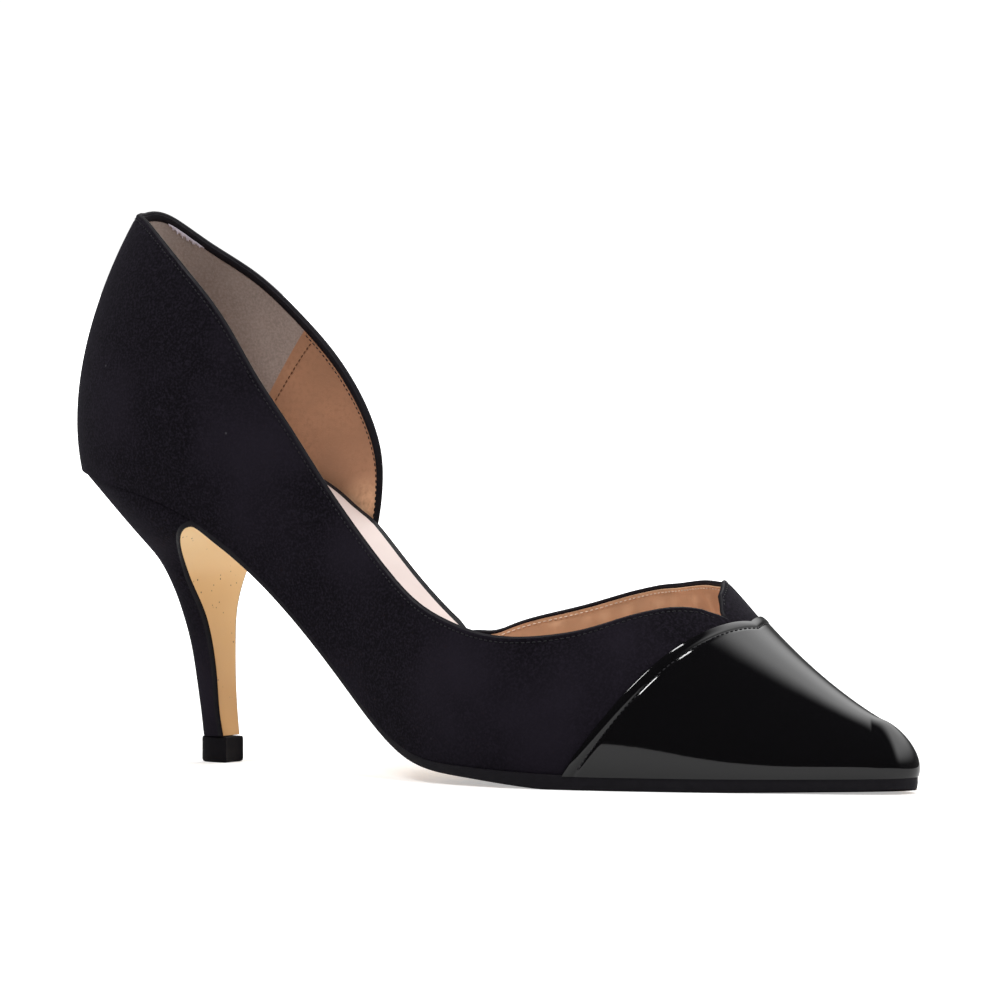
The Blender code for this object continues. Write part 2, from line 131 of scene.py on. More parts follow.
QUARTER_TOP = [
    Topline(0.000, 0.682),
    Topline(0.020, 0.669),
    Topline(0.060, 0.577),
    Topline(0.100, 0.514),
    Topline(0.150, 0.439),
    Topline(0.211, 0.367),
    Topline(0.250, 0.306),
    Topline(0.272, 0.243),
    Topline(0.282, 0.177),
    Topline(0.288, 0.100),
    Topline(0.290, 0.050),
    Topline(0.291, 0.004),
]
VAMP_TOP = [
    Topline(0.413, 0.004),
    Topline(0.420, 0.030),
    Topline(0.436, 0.0685),
    Topline(0.458, 0.134),
    Topline(0.494, 0.227),
    Topline(0.568, 0.368),
    Topline(0.612, 0.447),
    Topline(0.641, 0.509),
    Topline(0.657, 0.546),
    Topline(0.686, 0.621),
    Topline(0.711, 0.674),
    Topline(0.731, 0.7065),
    Topline(0.748, 0.765),
    Topline(0.767, 0.865),
    Topline(0.7846, 0.9615),
    Topline(0.7926, 1.017),
    Topline(0.7993, 1.081),
    Topline(0.8039, 1.108),
    Topline(0.810, 1.1184),
]
NOTCH_ALONG = LATERAL_TOP[-1].along

# Rear edge of the toe cap, from the sole up to its peak just ahead of the notch
CAP_FOOT_ALONG = 0.681
CAP_PEAK_ALONG = 0.829
CAP_BOW = 0.048

# Seam between the grey heel grip and the tan lining, at the sole and at the topline
SEAM_FOOT_ALONG = 0.096
SEAM_TOP_ALONG = 0.160

# Front corner of the inner quarter's lining, where it is rubbed pale
QUARTER_CORNER = (-0.0510, 0.0205, 0.0630)

# Thickness of insole and outsole along the foot
Layers = namedtuple("Layers", "along insole outsole")
LAYERS = [
    Layers(0.00, 0.0050, 0.0015),
    Layers(0.12, 0.0072, 0.0015),
    Layers(0.20, 0.0088, 0.0015),
    Layers(0.26, 0.0086, 0.0014),
    Layers(0.30, 0.0069, 0.0014),
    Layers(0.35, 0.0039, 0.0014),
    Layers(0.42, 0.0025, 0.0015),
    Layers(0.50, 0.0034, 0.0018),
    Layers(0.56, 0.0034, 0.0021),
    Layers(0.61, 0.0032, 0.0026),
    Layers(0.66, 0.0031, 0.0032),
    Layers(0.82, 0.0030, 0.0031),
    Layers(1.00, 0.0026, 0.0030),
]

# Stem of the heel, behind the breast line; x is measured from the back of the feather line
Stem = namedtuple("Stem", "z back breast half_width")
STEM = [
    Stem(TIP_TOP + 0.0001, 0.0326, 0.0393, 0.0038),
    Stem(0.0120, 0.0320, 0.0385, 0.0042),
    Stem(0.0200, 0.0307, 0.0379, 0.0044),
    Stem(0.0300, 0.0289, 0.0371, 0.0055),
    Stem(0.0380, 0.0268, 0.0361, 0.0078),
    Stem(0.0450, 0.0250, 0.0354, 0.0119),
    Stem(0.0510, 0.0219, 0.0364, 0.0164),
    Stem(0.0550, 0.0186, 0.0389, 0.0212),
]
# Station of the breast line, and how far ahead of it the waist ends and the flap begins
BREAST_ALONG = 0.200
FLAP_CLEAR = 0.008
# Distance of the heel's seat from the feather line
SEAT_INSET = 0.0004
# How far sole and heel are pressed into what lies on them, so that no slit is left
PRESS = 0.00015

# Wrinkles of the inner vamp's lining, standing into the shoe. along: station of the wrinkle at the
# edge. slant: how far it moves towards the toe on its way down. reach: how far down the rib it goes.
Wrinkle = namedtuple("Wrinkle", "along slant reach width depth")
WRINKLES = [
    Wrinkle(0.505, 0.020, 0.70, 0.0040, 0.00045),
    Wrinkle(0.541, 0.026, 0.80, 0.0034, 0.00035),
    Wrinkle(0.562, 0.030, 0.60, 0.0030, 0.00052),
    Wrinkle(0.590, 0.016, 0.90, 0.0036, 0.00048),
    Wrinkle(0.628, 0.024, 0.80, 0.0034, 0.00062),
    Wrinkle(0.650, 0.012, 0.60, 0.0028, 0.00048),
    Wrinkle(0.682, 0.020, 0.70, 0.0030, 0.00060),
    Wrinkle(0.705, 0.010, 0.80, 0.0026, 0.00052),
    Wrinkle(0.730, 0.022, 0.60, 0.0026, 0.00040),
]
# Share of a rib that its stitches hold flat, and the shares over which a wrinkle rises and falls
STITCHED = 0.05
WRINKLE_RISE = 0.06
WRINKLE_FALL = 0.40

# Row distances below an edge of the upper, before the rows widen towards the sole
EDGE_DROPS = np.array([0, 0.25, 0.5, 0.75, 1.0, 1.25, 1.5, 1.8, 2.2, 2.7, 3.3, 4.1, 5.2]) * 1e-3
# The shortest rib that takes those rows at full distance
FULL_RIB = 0.010
# The plain stretch of an edge at the notch, and the stretch over which its rim and groove fade out
NOTCH_PLAIN = 0.0015
NOTCH_BLEND = 0.004

# Space between suede and lining
LINING_GAP = 0.00004
# Share of a rib at which the lining begins
LINING_FOOT = 0.01
# The least share of a rib that anything is divided by
LEAST_SHARE = 1e-6

# Topline stitches: the groove's depth and width, and the swell's height, width and place beside the edge
GROOVE_DEPTH = 0.00016
GROOVE_WIDTH = 0.00045
SWELL_HEIGHT = 0.00008
SWELL_WIDTH = 0.0008
SWELL_PLACE = 0.45

# Cap stitches: distance from the rear edge, the groove's depth and width, the folded edge's height and width
CAP_ROW = 0.0022
CAP_GROOVE_DEPTH = 0.00020
CAP_GROOVE_WIDTH = 0.00042
CAP_SWELL_HEIGHT = 0.00015
CAP_SWELL_WIDTH = 0.0021

# Rounded corner of a slab: its steps as shares of the radius, the width in radii below which the corner
# shrinks, and the least width that anything is divided by
CORNER_STEPS = (0, 0.03, 0.12, 0.28, 0.5, 0.75, 1.0)
NARROW_SLAB = 5
LEAST_WIDTH = 1e-9

# Mesh density
FINE = 1600
COLLAR_COLUMNS = 250
QUARTER_COLUMNS = 120
VAMP_COLUMNS = 130
TOE_COLUMNS = 50
BODY_ROWS = 32
INNER_STEP = 4
RIM_STEPS = 6
LINING_ROWS = 40
GRIP_COLUMNS = 40
COLLAR_LINING_COLUMNS = 150
QUARTER_LINING_COLUMNS = 60
VAMP_LINING_COLUMNS = 190
TOE_LINING_POINTS = 40
CAP_ROWS = 64
SOLE_COLUMNS = 170
HEEL_AROUND = 72
HEEL_RINGS = 60
HEEL_ACROSS = 16
SLAB_ACROSS = 16
RIB_POINTS = 90
LENGTH_POINTS = 60
DISTANCE_CHUNK = 2000
WELD_DISTANCE = 3e-6
SHARP_ANGLE = 50


def size(name, description, default):
    """A length property."""
    return FloatProperty(name=name, description=description, default=default, unit="LENGTH")


class ShoeSizes(bpy.types.PropertyGroup):
    """Sizes of the shoe and of its layers."""

    length: size("Length", "Feather line from back to toe", 0.233)
    ball_width: size("Ball width", "Width that the sections are shares of", 0.0715)
    heel_height: size("Heel height", "Bottom of the last at the back", 0.0725)
    instep: size("Instep", "Height that the ridge is a share of", 0.065)
    tread: size("Tread", "Thickness of the outsole at the ball", 0.0030)
    gap: size("Gap", "Space between neighbouring layers", 0.0003)
    suede: size("Suede", "Thickness of the suede wall", 0.00115)
    wall: size("Wall", "Thickness of suede and lining together", 0.0015)
    binding: size("Binding", "Width of the black strip inside the topline", 0.0021)
    cap_standoff: size("Cap standoff", "Space between suede and cap", 0.00012)
    cap_thickness: size("Cap thickness", "Thickness of the patent cap", 0.0007)
    sock: size("Sock", "Thickness of the sock on the insole", 0.0005)
    flap: size("Flap", "Thickness of the sole on the heel's breast", 0.0008)


class StitchSizes(bpy.types.PropertyGroup):
    """Sizes of the stitch rows."""

    pitch: size("Pitch", "Distance from stitch to stitch", 0.00135)
    length: size("Length", "Visible length of one stitch", 0.00095)
    radius: size("Thread radius", "Half the thickness of the thread", 0.00016)
    inset: size("Inset", "Distance of a row from its edge", 0.0016)


def colour(name, description, default):
    """A colour property."""
    return FloatVectorProperty(
        name=name, description=description, default=default, size=3, min=0, max=1, subtype="COLOR"
    )


class ShoeColours(bpy.types.PropertyGroup):
    """Colours of the finishes."""

    suede: colour("Suede", "Black suede of upper and heel", (0.0047, 0.0038, 0.0058))
    patent: colour("Patent", "Patent leather of the toe cap", (0.0020, 0.0018, 0.0023))
    edge: colour("Edge", "Black leather and paint of the edges", (0.0075, 0.0066, 0.0088))
    lining: colour("Lining", "Tan lining leather", (0.415, 0.215, 0.122))
    # Lighter tan painted on the inner vamp as painted light, where more light falls; also the base of the
    # rubbed pale corner
    painted_lit_vamp_and_rubbed_lining: colour("Vamp lining", "Lighter tan inside the vamp", (0.78, 0.48, 0.287))
    grip: colour("Heel grip", "Grey suede at the back of the lining", (0.300, 0.248, 0.222))
    sock: colour("Sock", "Pale sock on the insole", (0.62, 0.515, 0.480))
    sole: colour("Sole", "Tan leather of the outsole", (0.61, 0.355, 0.140))
    # Paler tan painted high on the heel's breast as painted light, where more light falls
    sole_painted_light: colour("Pale sole", "Paler leather high on the heel's breast", (0.93, 0.67, 0.35))
    tip: colour("Tip", "Hard tip under the heel", (0.0075, 0.0068, 0.0085))
    thread: colour("Thread", "Dark thread of the toplines", (0.011, 0.0105, 0.013))
    brown_thread: colour("Brown thread", "Thread of the lining's seam", (0.12, 0.065, 0.035))
    fibre: colour("Fibre", "Frayed strip over the heel grip", (0.62, 0.58, 0.66))
    pale_thread: colour("Pale thread", "Thread under the vamp's edge", (0.75, 0.62, 0.50))


class StageSettings(bpy.types.PropertyGroup):
    """Floor, lights and camera."""

    floor: colour("Floor", "Pale floor", (0.74, 0.74, 0.74))
    floor_glow: FloatProperty(name="Floor glow", description="Even light of the seen floor", default=0.42)
    far_glow: FloatProperty(
        name="Far glow", description="How much the far floor is lightened towards white", default=1.2
    )
    lamp: FloatProperty(
        name="Lamp", description="Power of the lamp high on the heel's side", default=19.0, subtype="POWER"
    )
    top_lamp: FloatProperty(
        name="Top lamp", description="Power of the lamp over the vamp", default=10.0, subtype="POWER"
    )
    surround: FloatProperty(name="Surround", description="Light from in front", default=0.06)
    horizon: FloatProperty(name="Horizon", description="Light from low behind the toe", default=1.55)
    mirrored: FloatProperty(
        name="Mirrored horizon", default=0.12,
        description="Light from low behind the toe, as glossy leather mirrors it"
    )
    zenith: FloatProperty(name="Zenith", description="Light from high behind the toe", default=2.9)
    azimuth: FloatProperty(
        name="Azimuth", description="Camera's turn from the outer side to the toe",
        default=np.radians(33), subtype="ANGLE"
    )
    distance: size("Distance", "Camera's distance in plan", 1.8)
    height: size("Height", "Camera's height over the floor", 0.130)
    aim_right: size("Aim right", "How far to the toe the camera looks", 0.0022)
    aim_height: size("Aim height", "Height that the camera looks at", 0.0660)
    lens: FloatProperty(name="Lens", description="Focal length in millimetres", default=270.0)


def spline(xs, ys, start=None, end=None):
    """Return a smooth cubic through the points; start and end are slopes, or None for a free end."""
    xs = np.asarray(xs, float)
    ys = np.asarray(ys, float)
    count = len(xs)
    step = np.diff(xs)
    secant = np.diff(ys) / step
    matrix = np.zeros((count, count))
    right = np.zeros(count)
    for i in range(1, count - 1):
        matrix[i, i - 1:i + 2] = step[i], 2 * (step[i - 1] + step[i]), step[i - 1]
        right[i] = 3 * (step[i] * secant[i - 1] + step[i - 1] * secant[i])
    matrix[0, :2] = (2, 1) if start is None else (1, 0)
    right[0] = 3 * secant[0] if start is None else start
    matrix[-1, -2:] = (1, 2) if end is None else (0, 1)
    right[-1] = 3 * secant[-1] if end is None else end
    slope = np.linalg.solve(matrix, right)

    def curve(x):
        x = np.asarray(x, float)
        i = np.clip(np.searchsorted(xs, x) - 1, 0, count - 2)
        t = (x - xs[i]) / step[i]
        left = (1 + 2 * t) * (1 - t) ** 2 * ys[i] + t * (1 - t) ** 2 * step[i] * slope[i]
        return left + t * t * (3 - 2 * t) * ys[i + 1] + t * t * (t - 1) * step[i] * slope[i + 1]

    return curve


def angle_of(along):
    """Turn a share of the length into the angle that spaces the ribs closely at both ends."""
    return np.arccos(np.clip(1 - 2 * np.asarray(along, float), -1, 1))


def along_of(angle):
    """Turn a rib's angle back into a share of the length."""
    return (1 - np.cos(angle)) / 2


def column(rows, name):
    """One column of a table."""
    return [getattr(row, name) for row in rows]


def smooth_step(x):
    """Ease from 0 to 1."""
    x = np.clip(x, 0, 1)
    return x * x * (3 - 2 * x)


def unit(vectors):
    """Vectors at length 1."""
    return vectors / np.maximum(np.linalg.norm(vectors, axis=-1, keepdims=True), 1e-12)


def lengths_along(points):
    """Distance along a line of points, from its first point."""
    return np.concatenate([[0], np.cumsum(np.linalg.norm(np.diff(points, axis=0), axis=1))])


class Last:
    """The last as a family of ribs, from the feather line to the ridge."""

    BACK_X = -0.1166
    CENTRE_Y = 0.0002
    BACK_RADIUS = 0.023
    TOE_RADIUS = 0.006
    LEAST_REACH = 0.006
    RIDGE_STEP = 0.05
    SKEW = 0.29
    NUDGE = 3e-4
    SMALL = 1e-3
    LEAST_NORMAL_SHARE = 0.002
    MOST_NORMAL_SHARE = 0.997

    def __init__(self, sizes):
        self.sizes = sizes
        angles = angle_of(column(SECTIONS, "along"))
        stations = column(SECTIONS, "along")
        back = np.sqrt(self.BACK_RADIUS * sizes.length / 2) / sizes.ball_width
        toe = -np.sqrt(self.TOE_RADIUS * sizes.length / 2) / sizes.ball_width
        self.half_width = {
            LATERAL: spline(angles, column(SECTIONS, "lateral"), back, toe),
            MEDIAL: spline(angles, column(SECTIONS, "medial"), back, toe),
        }
        self.rise = spline(stations, column(SECTIONS, "rise"))
        self.skewing = spline(column(SKEWING, "along"), column(SKEWING, "strength"))
        for name in ("ridge_along", "ridge_height", "tilt", "flare", "low", "high"):
            setattr(self, name, spline(angles, column(SECTIONS, name), 0.0, 0.0))
        self.insole = spline(column(LAYERS, "along"), column(LAYERS, "insole"))
        self.outsole = spline(column(LAYERS, "along"), column(LAYERS, "outsole"))

    def x_of(self, angle):
        """Place of a rib's foot along the shoe."""
        return self.BACK_X + self.sizes.length * along_of(angle)

    def floor(self, x, y):
        """Height of the last's bottom over a point of the plan."""
        along = (x - self.BACK_X) / self.sizes.length
        lag = self.SKEW * self.skewing(along) * (y - self.CENTRE_Y) / self.sizes.length
        base = self.sizes.tread + self.sizes.gap
        return base + (self.sizes.heel_height - base) * self.rise(along - lag)

    def on_centre(self, angle):
        """Tell which ribs stand at the very back or the very toe."""
        return np.isclose(np.sin(angle), 0, atol=1e-9)

    def plan(self, angle, side):
        """Point of the feather line in plan."""
        y = self.CENTRE_Y + side * self.sizes.ball_width * self.half_width[side](angle)
        return np.stack([self.x_of(angle), y], -1)

    def plan_normal(self, angle, side):
        """Outward normal of the feather line in plan."""
        ahead = self.plan(np.clip(angle + self.NUDGE, 0, np.pi), side)
        run = ahead - self.plan(np.clip(angle - self.NUDGE, 0, np.pi), side)
        run[..., 0] *= ~self.on_centre(angle)
        run = unit(run)
        return np.stack([-side * run[..., 1], side * run[..., 0]], -1)

    def edge(self, angle, side, outward):
        """Point on the bottom of the last, moved outward in plan from the feather line."""
        plan = self.plan(angle, side) + np.asarray(outward)[..., None] * self.plan_normal(angle, side)
        plan[..., 1] = np.where(self.on_centre(angle), self.CENTRE_Y, plan[..., 1])
        return np.concatenate([plan, self.floor(plan[..., :1], plan[..., 1:])], -1)

    def ridge(self, angle):
        """Top of the rib at an angle."""
        height = self.floor(self.x_of(angle), self.CENTRE_Y) + self.sizes.instep * self.ridge_height(angle)
        x = self.BACK_X + self.sizes.length * self.ridge_along(angle)
        return np.stack([x, np.full(np.shape(angle), self.CENTRE_Y), height], -1)

    def ridge_run(self, angle):
        """Direction of the ridge at an angle."""
        ahead = self.ridge(np.clip(angle + self.RIDGE_STEP, 0, np.pi))
        return unit(ahead - self.ridge(np.clip(angle - self.RIDGE_STEP, 0, np.pi)))

    def over_ridge(self, half, angle, share, side):
        """Read one half of the last up to share 1, and the other half beyond it."""
        angle, share = np.broadcast_arrays(np.asarray(angle, float), np.asarray(share, float))
        near = half(angle, np.minimum(share, 1), side)
        far = half(angle, np.minimum(2 - share, 1), -side)
        return np.where((share > 1)[..., None], far, near)

    def point(self, angle, share, side):
        """Point on the last: share 0 is the feather line, 1 the ridge, 2 the other feather line."""
        return self.over_ridge(self.half_point, angle, share, side)

    def normal(self, angle, share, side):
        """Outward normal of the last."""
        return self.over_ridge(self.half_normal, angle, share, side)

    def half_point(self, angle, share, side):
        """Point on one half of the last."""
        angle, share = np.broadcast_arrays(np.asarray(angle, float), np.asarray(share, float))
        foot = self.edge(angle, side, np.zeros_like(angle))
        top = self.ridge(angle)
        normal = self.plan_normal(angle, side)
        level = np.zeros_like(angle)
        out = np.stack([normal[..., 0], normal[..., 1], level], -1)
        rise = top - foot
        rise[..., 1] = 0
        height = np.linalg.norm(rise, axis=-1, keepdims=True)
        flare = np.radians(self.flare(angle))[..., None]
        lean = rise / height * np.cos(flare) + out * np.sin(flare)
        low = foot + self.low(angle)[..., None] * height * lean
        slope = np.tan(np.radians(self.tilt(angle)))
        across = np.stack([level, normal[..., 1], normal[..., 1] * slope], -1)
        spread = normal[..., :1] * self.ridge_run(angle) + across
        reach = np.maximum(np.abs(foot[..., 1:2] - self.CENTRE_Y), self.LEAST_REACH)
        high = top + self.high(angle)[..., None] * reach * spread
        t = share[..., None]
        lower = (1 - t) ** 3 * foot + 3 * (1 - t) ** 2 * t * low
        return lower + 3 * (1 - t) * t * t * high + t ** 3 * top

    def half_normal(self, angle, share, side):
        """Outward normal of one half of the last."""
        share = np.clip(share, self.LEAST_NORMAL_SHARE, self.MOST_NORMAL_SHARE)
        small = self.SMALL
        after = self.half_point(np.clip(angle + small, 0, np.pi), share, side)
        along = after - self.half_point(np.clip(angle - small, 0, np.pi), share, side)
        centre = self.on_centre(angle)
        along[..., 0] *= ~centre
        along[..., 2] *= ~centre
        up = self.half_point(angle, share + small, side) - self.half_point(angle, share - small, side)
        return unit(-side * np.cross(along, up))

    def skin(self, angle, share, side, lift):
        """Point at a distance outside the last; a negative lift is inside."""
        lift = np.broadcast_to(np.asarray(lift, float), np.broadcast_shapes(np.shape(angle), np.shape(share)))
        return self.point(angle, share, side) + lift[..., None] * self.normal(angle, share, side)


class Edge:
    """An edge of the upper: its ribs, evenly spaced along it, and the rows under it."""

    RISING_STEP = 0.01

    def __init__(self, last, rows, side, count):
        self.last = last
        self.side = side
        self.notched = rows[-1].along == NOTCH_ALONG
        angles = angle_of(column(rows, "along"))
        shares = np.array(column(rows, "share"))
        chord = lengths_along(np.stack([angles, shares], -1))
        fine = np.linspace(0, chord[-1], FINE)
        angle = spline(chord, angles)(fine)
        share = spline(chord, shares)(fine)
        length = lengths_along(last.point(angle, share, side))
        even = np.linspace(0, length[-1], count + 1)
        self.length = length[-1]
        self.places = even
        self.angles = np.interp(even, length, angle)
        self.tops = np.interp(even, length, share)

    def shares_at(self, drops):
        """Shares of the ribs at distances below the edge; drops has the shape ribs, rows."""
        steps = np.linspace(1, 0, RIB_POINTS)
        shares = self.tops[:, None] * steps
        points = self.last.point(self.angles[:, None], shares, self.side)
        found = np.empty(drops.shape)
        for i, line in enumerate(points):
            found[i] = np.interp(drops[i], lengths_along(line), shares[i])
        return found

    def rib_lengths(self):
        """Length of each rib from the sole to the edge."""
        steps = np.linspace(0, 1, LENGTH_POINTS)
        points = self.last.point(self.angles[:, None], self.tops[:, None] * steps, self.side)
        return np.linalg.norm(np.diff(points, axis=1), axis=2).sum(1)

    def notch_fade(self):
        """Fade from 1 to 0 over the last millimetres before the notch."""
        if not self.notched:
            return np.ones_like(self.places)
        return smooth_step((self.length - self.places - NOTCH_PLAIN) / NOTCH_BLEND)

    def crest_drops(self):
        """How far under the edge the middle of its rounded rim lies."""
        full = self.last.sizes.suede / 2
        return full * np.minimum(1, self.rib_lengths() / FULL_RIB) * self.notch_fade()

    def row_drops(self):
        """Distances of the rows below the edge: close under it, wider towards the sole."""
        reach = self.rib_lengths()[:, None]
        near = self.crest_drops()[:, None] + EDGE_DROPS * np.minimum(1, reach / FULL_RIB)
        steps = np.linspace(0, 1, BODY_ROWS + 1)[1:]
        rest = near[:, -1:] + (reach - near[:, -1:]) * steps
        return np.concatenate([near, rest], 1)

    def share_under(self, angle, drop):
        """Share of a rib at one distance below the edge, for any rib between the edge's ends."""
        shares = self.shares_at(np.full((len(self.angles), 1), drop))[:, 0]
        return np.interp(angle, self.angles, shares)

    def rim_frame(self, lift):
        """Middle of the rounded rim at a lift, with its outward and upward directions."""
        last = self.last
        shares = self.shares_at(self.crest_drops()[:, None])[:, 0]
        middle = last.point(self.angles, shares, self.side)
        out = last.normal(self.angles, shares, self.side)
        run = np.gradient(middle, axis=0)
        run[last.on_centre(self.angles)] = (0, 1, 0)
        up = unit(np.cross(run, out))
        rising = middle - last.point(self.angles, shares - self.RISING_STEP, self.side)
        up *= np.sign((up * rising).sum(1, keepdims=True))
        if self.notched:
            ahead = last.point(self.angles[-1] + last.NUDGE, shares[-1], self.side)
            up[-1] = unit(middle[-1] - ahead)
        return middle + lift * out, out, up


class Builder:
    """Collects grids of points and turns them into one welded mesh."""

    def __init__(self):
        self.points = []
        self.faces = []
        self.marks = []
        self.count = 0

    def grid(self, points, marks=0):
        """Add quads over points of the shape columns, rows, 3; marks are material numbers by row."""
        points = np.asarray(points)
        columns, rows = points.shape[:2]
        index = self.count + np.arange(columns * rows).reshape(columns, rows)
        quads = np.stack([index[:-1, :-1], index[1:, :-1], index[1:, 1:], index[:-1, 1:]], -1)
        self.marks.append(np.broadcast_to(marks, quads.shape[:2]).reshape(-1))
        self.faces += quads.reshape(-1, 4).tolist()
        self.points.append(points.reshape(-1, 3))
        self.count += columns * rows

    def polygon(self, points, mark=0):
        """Add one face."""
        points = np.asarray(points)
        self.faces.append(list(range(self.count, self.count + len(points))))
        self.marks.append(np.array([mark]))
        self.points.append(points)
        self.count += len(points)

    def make(self, name, materials):
        """Weld everything into one smooth-shaded object with outward faces."""
        mesh = bpy.data.meshes.new(name)
        mesh.from_pydata(np.concatenate(self.points).tolist(), [], self.faces)
        mesh.polygons.foreach_set("material_index", np.concatenate(self.marks).astype(np.int32))
        bm = bmesh.new()
        bm.from_mesh(mesh)
        bmesh.ops.remove_doubles(bm, verts=bm.verts, dist=WELD_DISTANCE)
        bmesh.ops.dissolve_degenerate(bm, edges=bm.edges, dist=WELD_DISTANCE)
        bmesh.ops.recalc_face_normals(bm, faces=bm.faces)
        bm.to_mesh(mesh)
        bm.free()
        return finish_mesh(name, mesh, materials)


def finish_mesh(name, mesh, materials):
    """Shade a mesh, give it its materials and put it in the scene."""
    if not mesh.polygons:
        raise RuntimeError(f"{name} has no faces")
    mesh.shade_smooth()
    mesh.set_sharp_from_angle(angle=np.radians(SHARP_ANGLE))
    for material in materials:
        mesh.materials.append(material)
    piece = bpy.data.objects.new(name, mesh)
    bpy.context.scene.collection.objects.link(piece)
    return piece


def bake(piece):
    """Turn a piece with modifiers into a plain mesh."""
    graph = bpy.context.evaluated_depsgraph_get()
    mesh = bpy.data.meshes.new_from_object(piece.evaluated_get(graph))
    piece.modifiers.clear()
    piece.data = mesh
    return piece


def thicken(piece, thickness):
    """Give an open strip its thickness, on its inner face."""
    wall = piece.modifiers.new("wall", "SOLIDIFY")
    wall.thickness = thickness
    wall.offset = -1
    wall.use_quality_normals = True
    return bake(piece)


def settle(piece, node=None):
    """Fix a finished piece to the shoe, and hide the solid it stands for."""
    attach(piece, BODY)
    if node:
        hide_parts(node)


class Shader:
    """A material's node tree, with short ways to add and join nodes."""

    def __init__(self, name):
        self.material = bpy.data.materials.new(name)
        self.material.use_nodes = True
        self.tree = self.material.node_tree
        self.surface = self.tree.nodes["Principled BSDF"]
        coords = self.tree.nodes.new("ShaderNodeTexCoord")
        self.place = coords.outputs["Object"]

    def set(self, **values):
        """Set constants on the surface shader; underscores stand for spaces."""
        for name, value in values.items():
            self.surface.inputs[name.replace("_", " ")].default_value = value

    def join(self, source, target):
        """Link an output to an input."""
        self.tree.links.new(source, target)

    def axis(self, name, low, high):
        """Rise from 0 to 1 along an axis of the shoe."""
        node = self.tree.nodes.new("ShaderNodeSeparateXYZ")
        self.join(self.place, node.inputs["Vector"])
        return self.remap(node.outputs[name], low, high)

    def near(self, point, far, close):
        """Rise from 0 to 1 between a far and a close distance from a point."""
        node = self.tree.nodes.new("ShaderNodeVectorMath")
        node.operation = "DISTANCE"
        self.join(self.place, node.inputs[0])
        node.inputs[1].default_value = point
        return self.remap(node.outputs["Value"], far, close)

    def noise(self, scale, detail=2.0, roughness=0.5):
        """Value of a noise texture."""
        node = self.tree.nodes.new("ShaderNodeTexNoise")
        node.inputs["Scale"].default_value = scale
        node.inputs["Detail"].default_value = detail
        node.inputs["Roughness"].default_value = roughness
        self.join(self.place, node.inputs["Vector"])
        return node.outputs["Fac"]

    def cells(self, scale, output="Distance"):
        """A cell texture's distance or random colour."""
        node = self.tree.nodes.new("ShaderNodeTexVoronoi")
        node.inputs["Scale"].default_value = scale
        self.join(self.place, node.inputs["Vector"])
        return node.outputs[output]

    def remap(self, value, low, high, to_low=0.0, to_high=1.0):
        """Stretch a value from one range to another, clamped."""
        node = self.tree.nodes.new("ShaderNodeMapRange")
        for name, number in (("From Min", low), ("From Max", high), ("To Min", to_low), ("To Max", to_high)):
            node.inputs[name].default_value = number
        self.join(value, node.inputs["Value"])
        return node.outputs["Result"]

    def math(self, kind, one, two):
        """A sum, product or the like of a value with a value or a number."""
        node = self.tree.nodes.new("ShaderNodeMath")
        node.operation = kind
        for value, socket in zip((one, two), node.inputs):
            if isinstance(value, (int, float)):
                socket.default_value = value
            else:
                self.join(value, socket)
        return node.outputs["Value"]

    def mix(self, factor, one, two):
        """Mix two colours, each a colour or a link."""
        node = self.tree.nodes.new("ShaderNodeMix")
        node.data_type = "RGBA"
        self.join(factor, node.inputs["Factor"])
        for value, socket in ((one, node.inputs[6]), (two, node.inputs[7])):
            if isinstance(value, tuple):
                socket.default_value = value
            else:
                self.join(value, socket)
        return node.outputs[2]

    def colour(self, link):
        """Use a link as the base colour."""
        self.join(link, self.surface.inputs["Base Color"])

    def rough(self, link):
        """Use a link as the roughness."""
        self.join(link, self.surface.inputs["Roughness"])

    def bump(self, layers):
        """Stack bumps: each layer is a height link, a strength and a distance."""
        before = None
        for height, strength, distance in layers:
            node = self.tree.nodes.new("ShaderNodeBump")
            node.inputs["Strength"].default_value = strength
            node.inputs["Distance"].default_value = distance
            self.join(height, node.inputs["Height"])
            if before:
                self.join(before, node.inputs["Normal"])
            before = node.outputs["Normal"]
        self.join(before, self.surface.inputs["Normal"])


def shade(base, factor):
    """A colour made lighter or darker, with full alpha."""
    return tuple(min(1.0, channel * factor) for channel in base) + (1.0,)


def finish(name):
    """Let a function paint the material of a name, the first time that it is asked for."""
    def wrap(paint):
        def give(colours):
            if name not in bpy.data.materials:
                paint(Shader(name), colours)
            return bpy.data.materials[name]

        return give

    return wrap


@finish("black_suede")
def suede_finish(s, colours):
    """Black suede: soft nap in patches, fine grain and a few specks of lint."""
    nap = s.remap(s.noise(34, 2.0, 0.45), 0.46, 0.74)
    grain = s.noise(1700, 2.0, 0.6)
    base = s.mix(nap, shade(colours.suede, 0.80), shade(colours.suede, 2.7))
    base = s.mix(s.remap(grain, 0.42, 0.74), base, shade(colours.suede, 2.9))
    speck = s.remap(s.cells(260), 0.05, 0.10, 1.0, 0.0)
    chosen = s.remap(s.cells(260, "Color"), 0.84, 0.90)
    s.colour(s.mix(s.math("MULTIPLY", speck, chosen), base, (0.055, 0.052, 0.060, 1.0)))
    s.bump([(s.noise(200, 2.0), 0.12, 0.0003), (grain, 0.50, 0.00018)])
    s.set(Roughness=1.0, Sheen_Weight=0.035, Sheen_Roughness=0.5, Sheen_Tint=(0.62, 0.60, 0.72, 1.0))
    s.set(Specular_IOR_Level=0.05)


@finish("black_patent")
def patent_finish(s, colours):
    """Black patent leather: mirror gloss with faint waves."""
    waves = s.noise(70, 2.0)
    s.colour(s.mix(waves, shade(colours.patent, 0.9), shade(colours.patent, 1.1)))
    s.rough(s.remap(s.noise(420, 3.0), 0.3, 0.8, 0.035, 0.075))
    s.bump([(waves, 0.10, 0.0006), (s.noise(900, 2.0), 0.02, 0.0001)])
    s.set(IOR=1.47)


